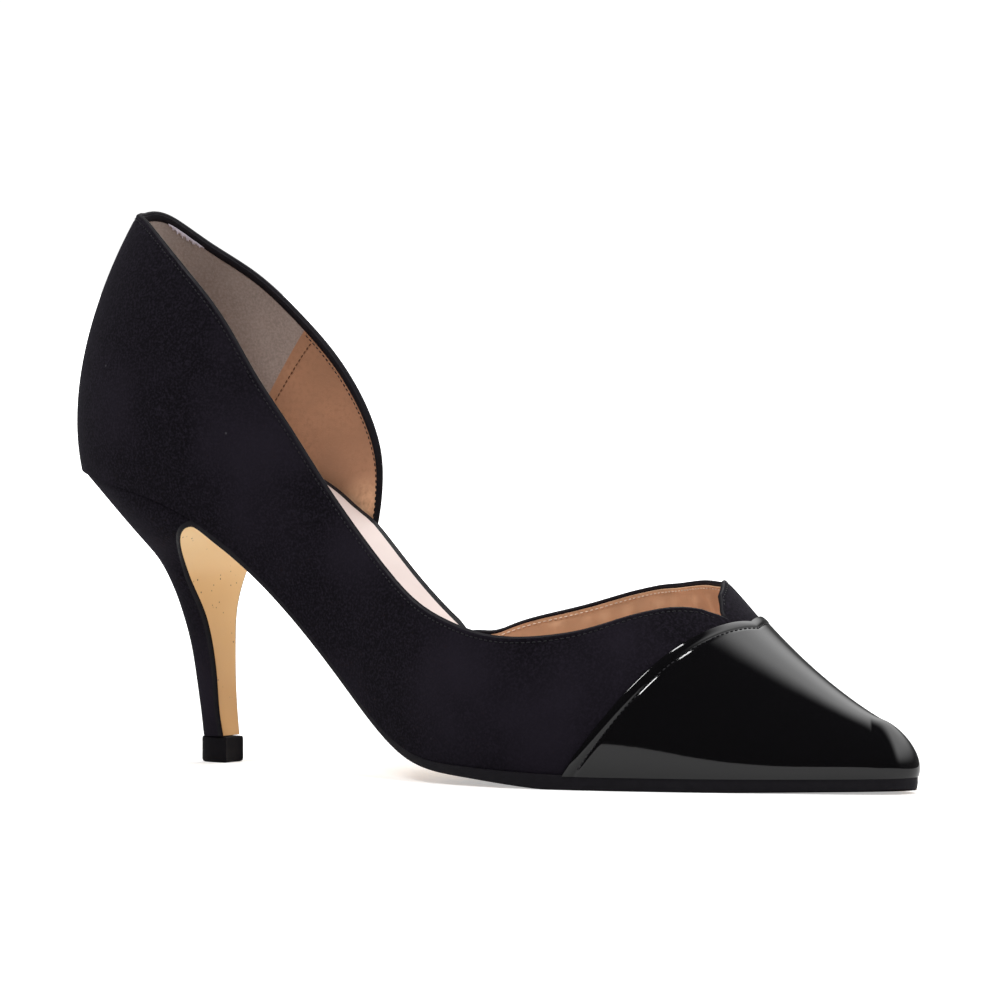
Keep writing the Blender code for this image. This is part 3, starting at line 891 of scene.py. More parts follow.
@finish("black_edge")
def edge_finish(s, colours):
    """Black edge leather and edge paint: satin, finely wrinkled."""
    wrinkle = s.noise(340, 4.0, 0.6)
    s.colour(s.mix(wrinkle, shade(colours.edge, 0.8), shade(colours.edge, 1.5)))
    s.rough(s.remap(s.noise(600, 2.0), 0.3, 0.7, 0.42, 0.62))
    s.bump([(wrinkle, 0.30, 0.0003), (s.noise(1600, 2.0), 0.25, 0.0001)])
    s.set(Specular_IOR_Level=0.10)


@finish("tan_lining")
def lining_finish(s, colours):
    """Tan lining leather: smooth, with pores and soft darker areas; ahead of the quarter the inner vamp is
    painted lighter, as painted light.
    """
    cloud = s.remap(s.noise(55, 3.0, 0.55), 0.32, 0.70)
    pores = s.remap(s.cells(1500), 0.05, 0.42)
    base = s.mix(cloud, shade(colours.lining, 0.86), shade(colours.lining, 1.10))
    base = s.mix(s.remap(s.noise(900, 2.0), 0.45, 0.75), base, shade(colours.lining, 0.84))
    # Painted light: the lining ahead of the quarter is painted lighter, standing in for the light that falls
    # on the inner vamp
    vamp = s.mix(cloud, shade(colours.painted_lit_vamp_and_rubbed_lining, 0.80), shade(colours.painted_lit_vamp_and_rubbed_lining, 1.12))
    base = s.mix(s.axis("X", -0.03, 0.02), base, vamp)
    patchy = s.remap(s.noise(900, 2.0), 0.1, 0.9)
    rubbed = s.math("MULTIPLY", s.near(QUARTER_CORNER, 0.009, 0.001), patchy)
    s.colour(s.mix(rubbed, base, shade(colours.painted_lit_vamp_and_rubbed_lining, 1.25)))
    s.rough(s.remap(s.noise(300, 2.0), 0.3, 0.7, 0.46, 0.62))
    s.bump([(s.noise(240, 3.0), 0.22, 0.0004), (pores, 0.20, 0.00008)])


@finish("grey_grip")
def grip_finish(s, colours):
    """Grey suede of the heel grip: fine speckle and a few dark spots."""
    speckle = s.noise(1700, 2.0)
    cloud = s.remap(s.noise(60, 3.0), 0.3, 0.7)
    base = s.mix(cloud, shade(colours.grip, 0.88), shade(colours.grip, 1.12))
    base = s.mix(s.remap(speckle, 0.35, 0.70), base, shade(colours.grip, 1.22))
    spot = s.remap(s.cells(190), 0.05, 0.10, 1.0, 0.0)
    chosen = s.remap(s.cells(190, "Color"), 0.88, 0.92)
    s.colour(s.mix(s.math("MULTIPLY", spot, chosen), base, shade(colours.grip, 0.35)))
    s.bump([(speckle, 0.5, 0.00015)])
    s.set(Roughness=0.95, Sheen_Weight=0.15, Sheen_Roughness=0.5, Specular_IOR_Level=0.2)


@finish("pale_sock")
def sock_finish(s, colours):
    """Pale sock leather: smooth, with fine pores."""
    cloud = s.remap(s.noise(45, 3.0), 0.3, 0.7)
    s.colour(s.mix(cloud, shade(colours.sock, 0.94), shade(colours.sock, 1.05)))
    s.rough(s.remap(s.noise(350, 2.0), 0.3, 0.7, 0.40, 0.55))
    s.bump([(s.noise(180, 3.0), 0.12, 0.0004), (s.cells(1300), 0.12, 0.00008)])


@finish("tan_sole")
def sole_finish(s, colours):
    """Polished tan sole leather with a few dark scuffs, painted paler high on the heel's breast as painted
    light.
    """
    cloud = s.noise(40, 2.0)
    base = s.mix(s.remap(cloud, 0.3, 0.7), shade(colours.sole, 0.95), shade(colours.sole, 1.05))
    # Painted light: the sole grows paler up the heel's breast, standing in for the light that falls on its
    # top
    base = s.mix(s.axis("Z", 0.018, 0.054), base, shade(colours.sole_painted_light, 1.0))
    scuff = s.remap(s.cells(700), 0.10, 0.20, 1.0, 0.0)
    chosen = s.remap(s.cells(700, "Color"), 0.50, 0.58)
    smear = s.remap(s.noise(170, 2.0), 0.46, 0.58)
    marks = s.math("MULTIPLY", s.math("MULTIPLY", scuff, chosen), smear)
    s.colour(s.mix(marks, base, (0.10, 0.055, 0.03, 1.0)))
    s.rough(s.remap(s.noise(260, 3.0), 0.3, 0.7, 0.30, 0.42))
    s.bump([(s.noise(300, 3.0), 0.06, 0.0002)])


@finish("black_tip")
def tip_finish(s, colours):
    """Hard black tip: satin plastic with faint grain."""
    grain = s.noise(1100, 3.0)
    s.colour(s.mix(grain, shade(colours.tip, 0.85), shade(colours.tip, 1.3)))
    s.rough(s.remap(s.noise(400, 2.0), 0.3, 0.7, 0.36, 0.52))
    s.bump([(grain, 0.25, 0.00012)])
    s.set(Specular_IOR_Level=0.035)


def thread_finish(name, base):
    """Twisted thread."""
    s = Shader(name)
    ply = s.noise(2600, 2.0)
    s.colour(s.mix(ply, shade(base, 0.8), shade(base, 1.25)))
    s.rough(s.remap(ply, 0.3, 0.7, 0.40, 0.60))
    s.bump([(ply, 0.4, 0.0001)])
    s.set(Specular_IOR_Level=0.20)
    return s.material


def upper_edges(last):
    """The three edges of the upper."""
    return {
        "collar": Edge(last, LATERAL_TOP, LATERAL, COLLAR_COLUMNS),
        "quarter": Edge(last, QUARTER_TOP, MEDIAL, QUARTER_COLUMNS),
        "vamp": Edge(last, VAMP_TOP, MEDIAL, VAMP_COLUMNS),
    }


def groove(distance, inset):
    """Relief along a stitch row: a shallow groove at the row, and a soft swell beside the edge."""
    row = GROOVE_DEPTH * np.exp(-((distance - inset) / GROOVE_WIDTH) ** 2)
    swell = SWELL_HEIGHT * np.exp(-((distance - inset * SWELL_PLACE) / SWELL_WIDTH) ** 2)
    return swell - row


class SHOE_OT_upper(bpy.types.Operator):
    """Build the suede upper, open at collar, throat, inner waist and underneath"""

    bl_idname = "shoe.upper"
    bl_label = "Upper"

    def execute(self, context):
        sizes = context.scene.shoe_sizes
        stitching = context.scene.shoe_stitching
        colours = context.scene.shoe_colours
        last = Last(sizes)
        build = Builder()
        radius = sizes.suede / 2
        turn = np.linspace(0, np.pi, RIM_STEPS + 1)[1:-1]
        notch_shares = {}
        for name, edge in upper_edges(last).items():
            side = edge.side
            drops = edge.row_drops()
            shares = edge.shares_at(drops)
            notch_shares[name] = shares[-1]
            relief = groove(drops, stitching.inset) * edge.notch_fade()[:, None]
            relief[:, -1] = 0
            outer = last.skin(edge.angles[:, None], shares, side, relief)
            inner = last.skin(edge.angles[:, None], shares[:, ::INNER_STEP], side, -sizes.suede)
            crest, out, up = edge.rim_frame(-radius)
            arc = np.cos(turn)[:, None] * out[:, None] + np.sin(turn)[:, None] * up[:, None]
            rim = crest[:, None] + radius * arc
            loop = np.concatenate([outer[:, ::-1], rim, inner, outer[:, -1:]], 1)
            marks = np.zeros(loop.shape[1] - 1, int)
            first = outer.shape[1] - 1
            marks[first:first + RIM_STEPS] = 1
            build.grid(loop, marks)
            end = {"quarter": -1, "vamp": 0}.get(name)
            if end is not None:
                build.polygon(loop[end, :-1])
        seam = np.concatenate([2 - notch_shares["collar"][::-1], notch_shares["vamp"][1:]])
        steps = np.linspace(0, 1, TOE_COLUMNS + 1)[:, None]
        notch = angle_of(NOTCH_ALONG)
        angles = notch + (np.pi - notch) * steps
        shares = seam + (np.linspace(2, 0, len(seam)) - seam) * smooth_step(steps)
        outer = last.skin(angles, shares, MEDIAL, 0.0)
        inner = last.skin(angles, shares[:, ::INNER_STEP], MEDIAL, -sizes.suede)
        build.grid(outer)
        build.grid(inner)
        for foot in (0, -1):
            build.grid(np.stack([outer[:, foot], inner[:, foot]], 1))
        piece = build.make("upper_suede", [suede_finish(colours), edge_finish(colours)])
        settle(piece, "upper")
        return {"FINISHED"}


def wrinkle_relief(last, angle, share, top):
    """How far the inner vamp's lining stands into the shoe, in metres."""
    relief = np.zeros(np.broadcast_shapes(angle.shape, share.shape))
    below = 1 - share / np.maximum(top, LEAST_SHARE)
    for row in WRINKLES:
        middle = row.along + row.slant * below
        across = (along_of(angle) - middle) * last.sizes.length / (row.width / 2)
        rise = smooth_step((below - STITCHED) / WRINKLE_RISE)
        fade = smooth_step((row.reach - below) / WRINKLE_FALL) * rise
        relief += row.depth * np.exp(-across ** 2) * fade
    return relief


def lining_sheet(build, last, edge, start, end, drop, wrinkled, columns):
    """Add one sheet of lining; start and end give a rib's angle at the sole and at the edge."""
    sizes = last.sizes
    rows = np.linspace(LINING_FOOT, 1, LINING_ROWS + 1)[None, :]
    steps = np.linspace(0, 1, columns + 1)[:, None]
    first = start[0] + (start[1] - start[0]) * rows
    final = end[0] + (end[1] - end[0]) * rows
    angle = first + (final - first) * steps
    top = edge.share_under(angle, drop)
    share = rows * top
    relief = wrinkle_relief(last, angle, share, top) if wrinkled else 0.0
    face = last.skin(angle, share, edge.side, -sizes.wall - relief)
    back = last.skin(angle, share, edge.side, -sizes.suede - LINING_GAP)
    loop = np.concatenate([face, back[:, ::-1], face[:, :1]], 1)
    build.grid(loop)
    for at in (0, -1):
        if not last.on_centre(angle[at]).all():
            build.grid(np.stack([face[at], back[at]]))


class SHOE_OT_linings(bpy.types.Operator):
    """Build the grey heel grip, the tan lining and the black strip inside the topline"""

    bl_idname = "shoe.linings"
    bl_label = "Linings"

    FRAY_FROM = 0.018
    FRAY_TO = 0.052
    FRAY_DROP = 0.0018
    FRAY_WIDTH = 0.0018
    FRAY_COLUMNS = 90
    FRAY_THICKNESS = 0.00010
    FRAY_PROUD = 0.00012
    FRAY_MEAN = 0.65
    # Waves of the frayed edge: how many, how high and how far shifted
    FRAY_WAVES = ((7, 0.22, 0), (19, 0.13, 1))
    FRAY_ENDS = 0.02
    LINING_DROP = 0.0012
    VAMP_DROP = 0.0009
    BINDING_THICKNESS = 0.00018
    BINDING_PROUD = 0.00010
    # Degrees round the rim, then shares of the binding's width and depths beyond the wall
    BINDING_TURN = (70, 100, 130, 160)
    BINDING_ROWS = (0.16, 0.4, 0.7, 1.0)
    BINDING_DEPTHS = (-0.00002, 0.00016, 0.00018, 0.00010)
    BINDING_MOST = 0.8
    # Towards the throat the collar's binding narrows
    NARROW_FROM = 0.42
    NARROW_BLEND = 0.2
    NARROW_BY = 0.62

    def execute(self, context):
        sizes = context.scene.shoe_sizes
        colours = context.scene.shoe_colours
        last = Last(sizes)
        edges = upper_edges(last)
        seam = angle_of([SEAM_FOOT_ALONG, SEAM_TOP_ALONG])
        notch = np.full(2, angle_of(NOTCH_ALONG))
        back = np.zeros(2)

        grip = Builder()
        for name in ("collar", "quarter"):
            lining_sheet(grip, last, edges[name], back, seam, self.LINING_DROP, False, GRIP_COLUMNS)
        settle(grip.make("heel_grip", [grip_finish(colours)]))

        tan = Builder()
        quarter_end = np.full(2, edges["quarter"].angles[-1])
        vamp_start = np.full(2, edges["vamp"].angles[0])
        for name, start, end, drop, columns in (
            ("collar", seam, notch, self.LINING_DROP, COLLAR_LINING_COLUMNS),
            ("quarter", seam, quarter_end, self.LINING_DROP, QUARTER_LINING_COLUMNS),
            ("vamp", vamp_start, notch, self.VAMP_DROP, VAMP_LINING_COLUMNS),
        ):
            lining_sheet(tan, last, edges[name], start, end, drop, name == "vamp", columns)
        steps = np.linspace(notch[0], np.pi, TOE_LINING_POINTS)[:, None]
        across = np.linspace(2 - LINING_FOOT, LINING_FOOT, 2 * LINING_ROWS + 1)[None, :]
        face = last.skin(steps, across, MEDIAL, -sizes.wall)
        behind = last.skin(steps, across, MEDIAL, -sizes.suede - LINING_GAP)
        tan.grid(np.concatenate([face, behind[:, ::-1], face[:, :1]], 1))
        tan.grid(np.stack([face[0], behind[0]]))
        settle(tan.make("tan_lining", [lining_finish(colours)]))

        strip = Builder()
        for name in ("collar", "quarter"):
            strip.grid(self.binding(last, edges[name], name))
        piece = strip.make("topline_binding", [edge_finish(colours)])
        settle(thicken(piece, self.BINDING_THICKNESS))

        fray = Builder()
        fray.grid(self.frayed(last, edges["quarter"]))
        piece = fray.make("grip_fray", [thread_finish("pale_fibre", colours.fibre)])
        settle(thicken(piece, self.FRAY_THICKNESS))
        return {"FINISHED"}

    def frayed(self, last, edge):
        """Points of the pale frayed strip where the heel grip goes under the binding."""
        steps = np.linspace(0, 1, self.FRAY_COLUMNS + 1)
        start, end = angle_of([self.FRAY_FROM, self.FRAY_TO])
        angles = start + (end - start) * steps
        ragged = np.full_like(steps, self.FRAY_MEAN)
        for count, height, shift in self.FRAY_WAVES:
            ragged += height * np.sin(2 * np.pi * count * steps + shift)
        inside = np.clip(steps, self.FRAY_ENDS, 1 - self.FRAY_ENDS)
        width = self.FRAY_WIDTH * ragged * np.sqrt(np.sin(np.pi * inside))
        top = edge.share_under(angles, self.FRAY_DROP)
        far = edge.share_under(angles, self.FRAY_DROP + self.FRAY_WIDTH)
        share = top + (far - top) * width / self.FRAY_WIDTH
        shares = np.stack([top, (top + share) / 2, share], 1)
        return last.skin(angles[:, None], shares, edge.side, -last.sizes.wall - self.FRAY_PROUD)

    def binding(self, last, edge, name):
        """Points of the strip from the crest of the edge down its inside."""
        sizes = last.sizes
        radius = sizes.suede / 2
        crest, out, up = edge.rim_frame(-radius)
        turn = np.radians(self.BINDING_TURN)
        arc = np.cos(turn)[:, None] * out[:, None] + np.sin(turn)[:, None] * up[:, None]
        rim = crest[:, None] + (radius + self.BINDING_PROUD) * arc
        width = sizes.binding * np.ones(len(edge.angles))
        if name == "collar":
            ahead = along_of(edge.angles) - self.NARROW_FROM
            width *= 1 - self.NARROW_BY * smooth_step(ahead / self.NARROW_BLEND)
        width = np.minimum(width, edge.rib_lengths() * self.BINDING_MOST)
        drops = np.outer(width, self.BINDING_ROWS)
        depth = sizes.wall + np.array(self.BINDING_DEPTHS)
        down = last.skin(edge.angles[:, None], edge.shares_at(drops), edge.side, -depth[None, :])
        return np.concatenate([rim, down], 1)


def cap_rear(shares):
    """Rib angles of the cap's rear edge."""
    linear = CAP_PEAK_ALONG - CAP_FOOT_ALONG + CAP_BOW
    return angle_of(CAP_FOOT_ALONG + linear * shares - CAP_BOW * shares ** 2)


def distance_to(points, line):
    """Distance of points from a line of points."""
    flat = points.reshape(-1, 3)
    found = np.empty(len(flat))
    for i in range(0, len(flat), DISTANCE_CHUNK):
        part = flat[i:i + DISTANCE_CHUNK, None] - line[None]
        found[i:i + DISTANCE_CHUNK] = np.sqrt((part ** 2).sum(-1)).min(1)
    return found.reshape(points.shape[:-1])


def cap_relief(distance):
    """The cap's folded edge: a swell, then the groove of the stitch row."""
    swell = CAP_SWELL_HEIGHT * np.sin(np.pi * np.clip(distance / CAP_SWELL_WIDTH, 0, 1))
    row = CAP_GROOVE_DEPTH * np.exp(-((distance - CAP_ROW) / CAP_GROOVE_WIDTH) ** 2)
    return swell - row


class SHOE_OT_toe_cap(bpy.types.Operator):
    """Build the patent toe cap with its folded and stitched rear edge"""

    bl_idname = "shoe.toe_cap"
    bl_label = "Toe cap"

    # Share of the cap that has close columns, the columns there and beyond it, and points along the rear edge
    CLOSE_SHARE = 0.075
    CLOSE_POINTS = 34
    WIDE_POINTS = 80
    REAR_POINTS = 900

    def execute(self, context):
        sizes = context.scene.shoe_sizes
        colours = context.scene.shoe_colours
        last = Last(sizes)
        build = Builder()
        shares = np.linspace(0, 1, CAP_ROWS + 1)
        rear = cap_rear(shares)
        near = np.linspace(0, self.CLOSE_SHARE, self.CLOSE_POINTS)
        far = np.linspace(self.CLOSE_SHARE, 1, self.WIDE_POINTS)[1:]
        steps = np.concatenate([near, far])[:, None]
        angles = rear + (np.pi - rear) * steps
        inside = sizes.cap_standoff
        outside = sizes.cap_standoff + sizes.cap_thickness
        radius = sizes.cap_thickness / 2
        turn = np.linspace(0, np.pi, RIM_STEPS + 1)[1:-1]
        fine = np.linspace(0, 1, self.REAR_POINTS)
        halves = []
        for side in (LATERAL, MEDIAL):
            line = last.skin(cap_rear(fine), fine, side, outside)
            flat = last.skin(angles, shares[None, :], side, outside)
            relief = cap_relief(distance_to(flat, line))
            outer = flat + relief[..., None] * last.normal(angles, shares[None, :], side)
            inner = last.skin(angles, shares[None, :], side, inside)
            out = last.normal(angles[0], shares, side)
            run = np.gradient(flat[0], axis=0)
            back = unit(np.cross(run, out)) * side
            back *= np.sign((back * (flat[0] - flat[1])).sum(1, keepdims=True))
            back[-1] = -last.ridge_run(angles[0, -1])
            crest = last.skin(angles[0], shares, side, inside + radius)
            arc = np.cos(turn)[:, None, None] * out + np.sin(turn)[:, None, None] * back
            rim = crest + radius * arc
            halves.append(np.concatenate([outer[::-1], rim, inner]))
            build.grid(np.stack([outer[:, 0], inner[:, 0]]))
            build.polygon(np.concatenate([outer[:1, 0], rim[:, 0], inner[:1, 0]]))
        ridge = (halves[0][:, -1] + halves[1][:, -1]) / 2
        for half in halves:
            half[:, -1] = ridge
            build.grid(half)
        piece = build.make("toe_cap_patent", [patent_finish(colours)])
        settle(piece, "toe_cap")
        return {"FINISHED"}


def across_steps(width, radius, count):
    """Shares across a slab, close to its edges; width has one value per cross-section."""
    near = np.array(CORNER_STEPS) * radius
    scale = np.minimum(1, width[:, None] / (NARROW_SLAB * radius))
    left = near[None, :] * scale / np.maximum(width[:, None], LEAST_WIDTH)
    middle = np.linspace(0, 1, count + 1)[1:-1]
    inner = left[:, -1:] + (1 - 2 * left[:, -1:]) * middle
    return np.concatenate([left, inner, 1 - left[:, ::-1]], 1)


def slab_rows(last, angles, outward, radius):
    """Points across the bottom of the last and their distance from the nearer edge."""
    outer = last.edge(angles, LATERAL, outward[LATERAL])
    inner = last.edge(angles, MEDIAL, outward[MEDIAL])
    width = np.linalg.norm((inner - outer)[:, :2], axis=1)
    steps = across_steps(width, radius, SLAB_ACROSS)[..., None]
    rows = outer[:, None] * (1 - steps) + inner[:, None] * steps
    rows[..., 2] = last.floor(rows[..., 0], rows[..., 1])
    distance = np.minimum(steps[..., 0], 1 - steps[..., 0]) * width[:, None]
    return rows, distance


def rounded(distance, radius):
    """Height share of a rounded edge at a distance from it."""
    inward = 1 - np.clip(distance / radius, 0, 1)
    return np.sqrt(np.maximum(0, 1 - inward ** 2))


class SHOE_OT_insole(bpy.types.Operator):
    """Build the black wrapped insole and the pale sock on it"""

    bl_idname = "shoe.insole"
    bl_label = "Insole and sock"

    BARE_FROM = 0.275
    BARE_TO = 0.424
    BARE_BLEND = 0.030
    CLOSE_BLEND = 0.012
    TOE_DRAW = 0.0025
    TOE_DRAW_FROM = 0.82
    WRAP_RADIUS = 0.0008
    BORDER_HEIGHT = 0.0010
    BORDER_WIDTH = 0.0020
    BORDER_FROM = 0.10
    BORDER_TO = 0.46
    BORDER_BLEND = 0.05
    SOCK_RADIUS = 0.0007
    SOCK_CLEAR = 0.0002
    SOCK_INSET = 0.0016
    SOCK_SINK = 0.0002

    def execute(self, context):
        sizes = context.scene.shoe_sizes
        colours = context.scene.shoe_colours
        last = Last(sizes)
        angles = np.linspace(0, np.pi, SOLE_COLUMNS + 1)
        along = along_of(angles)
        draw = self.TOE_DRAW * smooth_step((along - self.TOE_DRAW_FROM) / (1 - self.TOE_DRAW_FROM))
        inset = -(sizes.wall / np.cos(np.radians(last.flare(angles))) + sizes.gap + draw)
        opening = smooth_step((along - self.BARE_FROM) / self.BARE_BLEND)
        closing = smooth_step((self.BARE_TO - along) / self.CLOSE_BLEND)
        bare = np.minimum(opening, closing)

        outward = {LATERAL: inset, MEDIAL: inset * (1 - bare)}
        lower, distance = slab_rows(last, angles, outward, self.WRAP_RADIUS)
        thickness = last.insole((lower[..., 0] - last.BACK_X) / sizes.length)
        upper = lower.copy()
        upper[..., 2] += thickness * rounded(distance, self.WRAP_RADIUS)
        starting = smooth_step((along - self.BORDER_FROM) / self.BORDER_BLEND)
        border = starting * smooth_step((self.BORDER_TO - along) / self.BORDER_BLEND)
        inner_half = np.arange(lower.shape[1]) >= lower.shape[1] // 2
        swell = 0.5 + 0.5 * np.cos(np.pi * np.clip(distance / self.BORDER_WIDTH, 0, 1))
        raised = self.BORDER_HEIGHT * swell * rounded(distance, self.WRAP_RADIUS)
        upper[..., 2] += raised * inner_half * border[:, None]
        build = Builder()
        build.grid(upper)
        build.grid(lower)
        settle(build.make("insole_wrap", [edge_finish(colours)]), "insole")

        trim = self.SOCK_CLEAR + border * self.SOCK_INSET
        lateral = inset - self.SOCK_CLEAR
        medial = inset * (1 - bare) - trim
        rows, near = slab_rows(last, angles, {LATERAL: lateral, MEDIAL: medial}, self.SOCK_RADIUS)
        height = last.insole((rows[..., 0] - last.BACK_X) / sizes.length)
        steps = np.linspace(0, 1, rows.shape[1])
        from_wrap = near + np.where(steps > 0.5, trim[:, None], self.SOCK_CLEAR)
        base = rows.copy()
        base[..., 2] += height * rounded(from_wrap, self.WRAP_RADIUS) - self.SOCK_SINK
        face = base.copy()
        face[..., 2] += (sizes.sock + self.SOCK_SINK) * rounded(near, self.SOCK_RADIUS)
        build = Builder()
        build.grid(face)
        build.grid(base)
        settle(build.make("sock_leather", [sock_finish(colours)]))
        return {"FINISHED"}


def heel_rings(last):
    """Rings of the heel from its foot up to the seat, from outer breast edge round to the inner one."""
    turn = np.linspace(0, np.pi, HEEL_AROUND + 1)
    rings = []
    for row in STEM:
        x = last.BACK_X + row.breast - (row.breast - row.back) * np.sin(turn)
        y = last.CENTRE_Y - row.half_width * np.cos(turn)
        rings.append(np.stack([x, y, np.full_like(turn, row.z)], -1))
    half = HEEL_AROUND // 2
    seat_angles = np.linspace(angle_of(BREAST_ALONG), 0, half + 1)
    inset = np.full(half + 1, -SEAT_INSET)
    outer = last.edge(seat_angles, LATERAL, inset)
    inner = last.edge(seat_angles, MEDIAL, inset)
    seat = np.concatenate([outer, inner[-2::-1]])
    seat[:, 2] += PRESS
    rings = np.array(rings + [seat])
    levels = rings[..., 2].mean(1)
    sampled = np.linspace(levels[0], levels[-1], HEEL_RINGS + 1)
    flat = rings.reshape(len(rings), -1)
    read = np.stack([spline(levels, flat[:, i])(sampled) for i in range(flat.shape[1])], -1)
    return read.reshape((len(sampled),) + rings.shape[1:])


def breast_rows(last, rings, count):
    """Straight rows across the breast, one for each ring of the heel."""
    steps = np.linspace(0, 1, count + 1)[None, :, None]
    rows = rings[:, :1] * (1 - steps) + rings[:, -1:] * steps
    rows[-1, :, 2] = last.floor(rows[-1, :, 0], rows[-1, :, 1]) + PRESS
    return rows


class SHOE_OT_heel(bpy.types.Operator):
    """Build the suede-covered heel and its hard tip"""

    bl_idname = "shoe.heel"
    bl_label = "Heel and tip"

    TIP_BACK = 0.0323
    TIP_FRONT = 0.0414
    TIP_HALF_WIDTH = 0.0036
    TIP_SQUARENESS = 2.6
    TIP_AROUND = 96
    TIP_BULGE = 0.0004
    # Rounded rims of the tip: height over the floor or depth under the top, and inset
    LOWER_RIM = ((0.0, 0.0007), (0.00012, 0.00035), (0.0004, 0.0001), (0.0008, 0.0), (0.0030, 0.0))
    UPPER_RIM = ((0.0007, 0.0), (0.0003, 0.00006), (0.0001, 0.0002), (0.0, 0.0005))

    def execute(self, context):
        colours = context.scene.shoe_colours
        last = Last(context.scene.shoe_sizes)
        rings = heel_rings(last)
        build = Builder()
        build.grid(rings)
        rows = breast_rows(last, rings, HEEL_ACROSS)
        build.grid(rows)
        half = HEEL_AROUND // 2
        top = rings[-1]
        steps = np.linspace(0, 1, HEEL_ACROSS + 1)[None, :, None]
        seat = top[:half + 1, None] * (1 - steps) + top[::-1][:half + 1, None] * steps
        seat[..., 2] = last.floor(seat[..., 0], seat[..., 1]) + PRESS
        build.grid(seat)
        build.polygon(np.concatenate([rings[0], rows[0, -2:0:-1]]))
        settle(build.make("heel_cover", [suede_finish(colours)]), "heel")
        settle(self.tip(last, tip_finish(colours)), "heel_tip")
        return {"FINISHED"}

    def tip(self, last, material):
        """The tip: a squared oval with rounded rims."""
        front = last.BACK_X + self.TIP_FRONT
        extent = self.TIP_FRONT - self.TIP_BACK
        turn = np.linspace(0, 2 * np.pi, self.TIP_AROUND + 1)
        power = 2 / self.TIP_SQUARENESS
        profile = [*self.LOWER_RIM, *((TIP_TOP - depth, inset) for depth, inset in self.UPPER_RIM)]
        loops = []
        for z, inset in profile:
            sine = np.sign(np.sin(turn)) * np.abs(np.sin(turn)) ** power
            cosine = np.sign(np.cos(turn)) * np.abs(np.cos(turn)) ** power
            back = front - inset - (extent - 2 * inset) * np.maximum(sine, 0)
            x = back + self.TIP_BULGE * np.minimum(sine, 0)
            y = last.CENTRE_Y - (self.TIP_HALF_WIDTH - inset) * cosine
            loops.append(np.stack([x, y, np.full_like(turn, z)], -1))
        build = Builder()
        build.grid(np.array(loops))
        build.polygon(loops[0][:-1])
        build.polygon(loops[-1][:-1])
        return build.make("heel_tip_cap", [material])


class SHOE_OT_outsole(bpy.types.Operator):
    """Build the outsole: tread, waist and the flap down the heel's breast"""

    bl_idname = "shoe.outsole"
    bl_label = "Outsole"

    PROUD = 0.0006
    PROUD_FROM = 0.45
    PROUD_BLEND = 0.15
    ACROSS = 22
    CORNER = 0.0006
    TOE_CORNER = 0.0014
    TOE_FROM = 0.72
    BEND_ROWS = 6
    BEND_PASSES = 12
    # Middle of the rounded corner, as shares of its size
    ROUND_DOWN = 0.3
    ROUND_IN = 0.25
    CORNER_POINTS = 3

    def execute(self, context):
        sizes = context.scene.shoe_sizes
        colours = context.scene.shoe_colours
        last = Last(sizes)
        angles = np.linspace(np.pi, angle_of(BREAST_ALONG + FLAP_CLEAR), SOLE_COLUMNS + 1)
        along = along_of(angles)
        proud = self.PROUD * smooth_step((along - self.PROUD_FROM) / self.PROUD_BLEND)
        outer = last.edge(angles, LATERAL, proud)
        inner = last.edge(angles, MEDIAL, proud)
        steps = np.linspace(0, 1, self.ACROSS + 1)[None, :, None]
        top = outer[:, None] * (1 - steps) + inner[:, None] * steps
        level = last.floor(top[..., 0], top[..., 1])
        top[..., 2] = level + PRESS
        under = top.copy()
        under[..., 2] = np.maximum(level - sizes.gap - last.outsole(along)[:, None], 0)

        breast = breast_rows(last, heel_rings(last), self.ACROSS)[::-1]
        run = np.gradient(breast.mean(1), axis=0)
        out = unit(np.stack([-run[:, 2], np.zeros(len(run)), run[:, 0]], -1))[:, None]
        top = np.concatenate([top, breast - PRESS * out])
        under = np.concatenate([under, breast + (sizes.gap + sizes.flap) * out])
        bend = np.arange(len(along) - self.BEND_ROWS, len(along) + self.BEND_ROWS)
        for _ in range(self.BEND_PASSES):
            under[bend] = (under[bend - 1] + 2 * under[bend] + under[bend + 1]) / 4

        across = unit(under[:, -1] - under[:, 0])
        corner = np.full(len(under), self.CORNER)
        toe = smooth_step((along - self.TOE_FROM) / (1 - self.TOE_FROM))
        corner[:len(along)] += (self.TOE_CORNER - self.CORNER) * toe
        corner = np.minimum(corner, np.linalg.norm(under[:, -1] - under[:, 0], axis=1) / 4)[:, None]
        edges = []
        for end, inward in ((0, across), (-1, -across)):
            low = under[:, end].copy()
            down = unit(low - top[:, end])
            edges.append([
                low - down * corner,
                low - down * corner * self.ROUND_DOWN + inward * corner * self.ROUND_IN,
                low + inward * corner,
            ])
            under[:, end] = low + inward * corner
        lateral = np.stack(edges[0], 1)
        medial = np.stack(edges[1], 1)[:, ::-1]
        loop = np.concatenate([top, medial[:, ::-1], under[:, ::-1], lateral[:, ::-1], top[:, :1]], 1)
        marks = np.ones(loop.shape[1] - 1, int)
        first = self.ACROSS + 1 + self.CORNER_POINTS
        marks[first:first + self.ACROSS] = 0
        build = Builder()
        build.grid(loop, marks)
        build.grid(np.stack([top[0], under[0]]), 1)
        build.polygon(loop[-1, :-1], 1)
        piece = build.make("outsole_leather", [sole_finish(colours), edge_finish(colours)])
        settle(piece, "outsole")
        return {"FINISHED"}


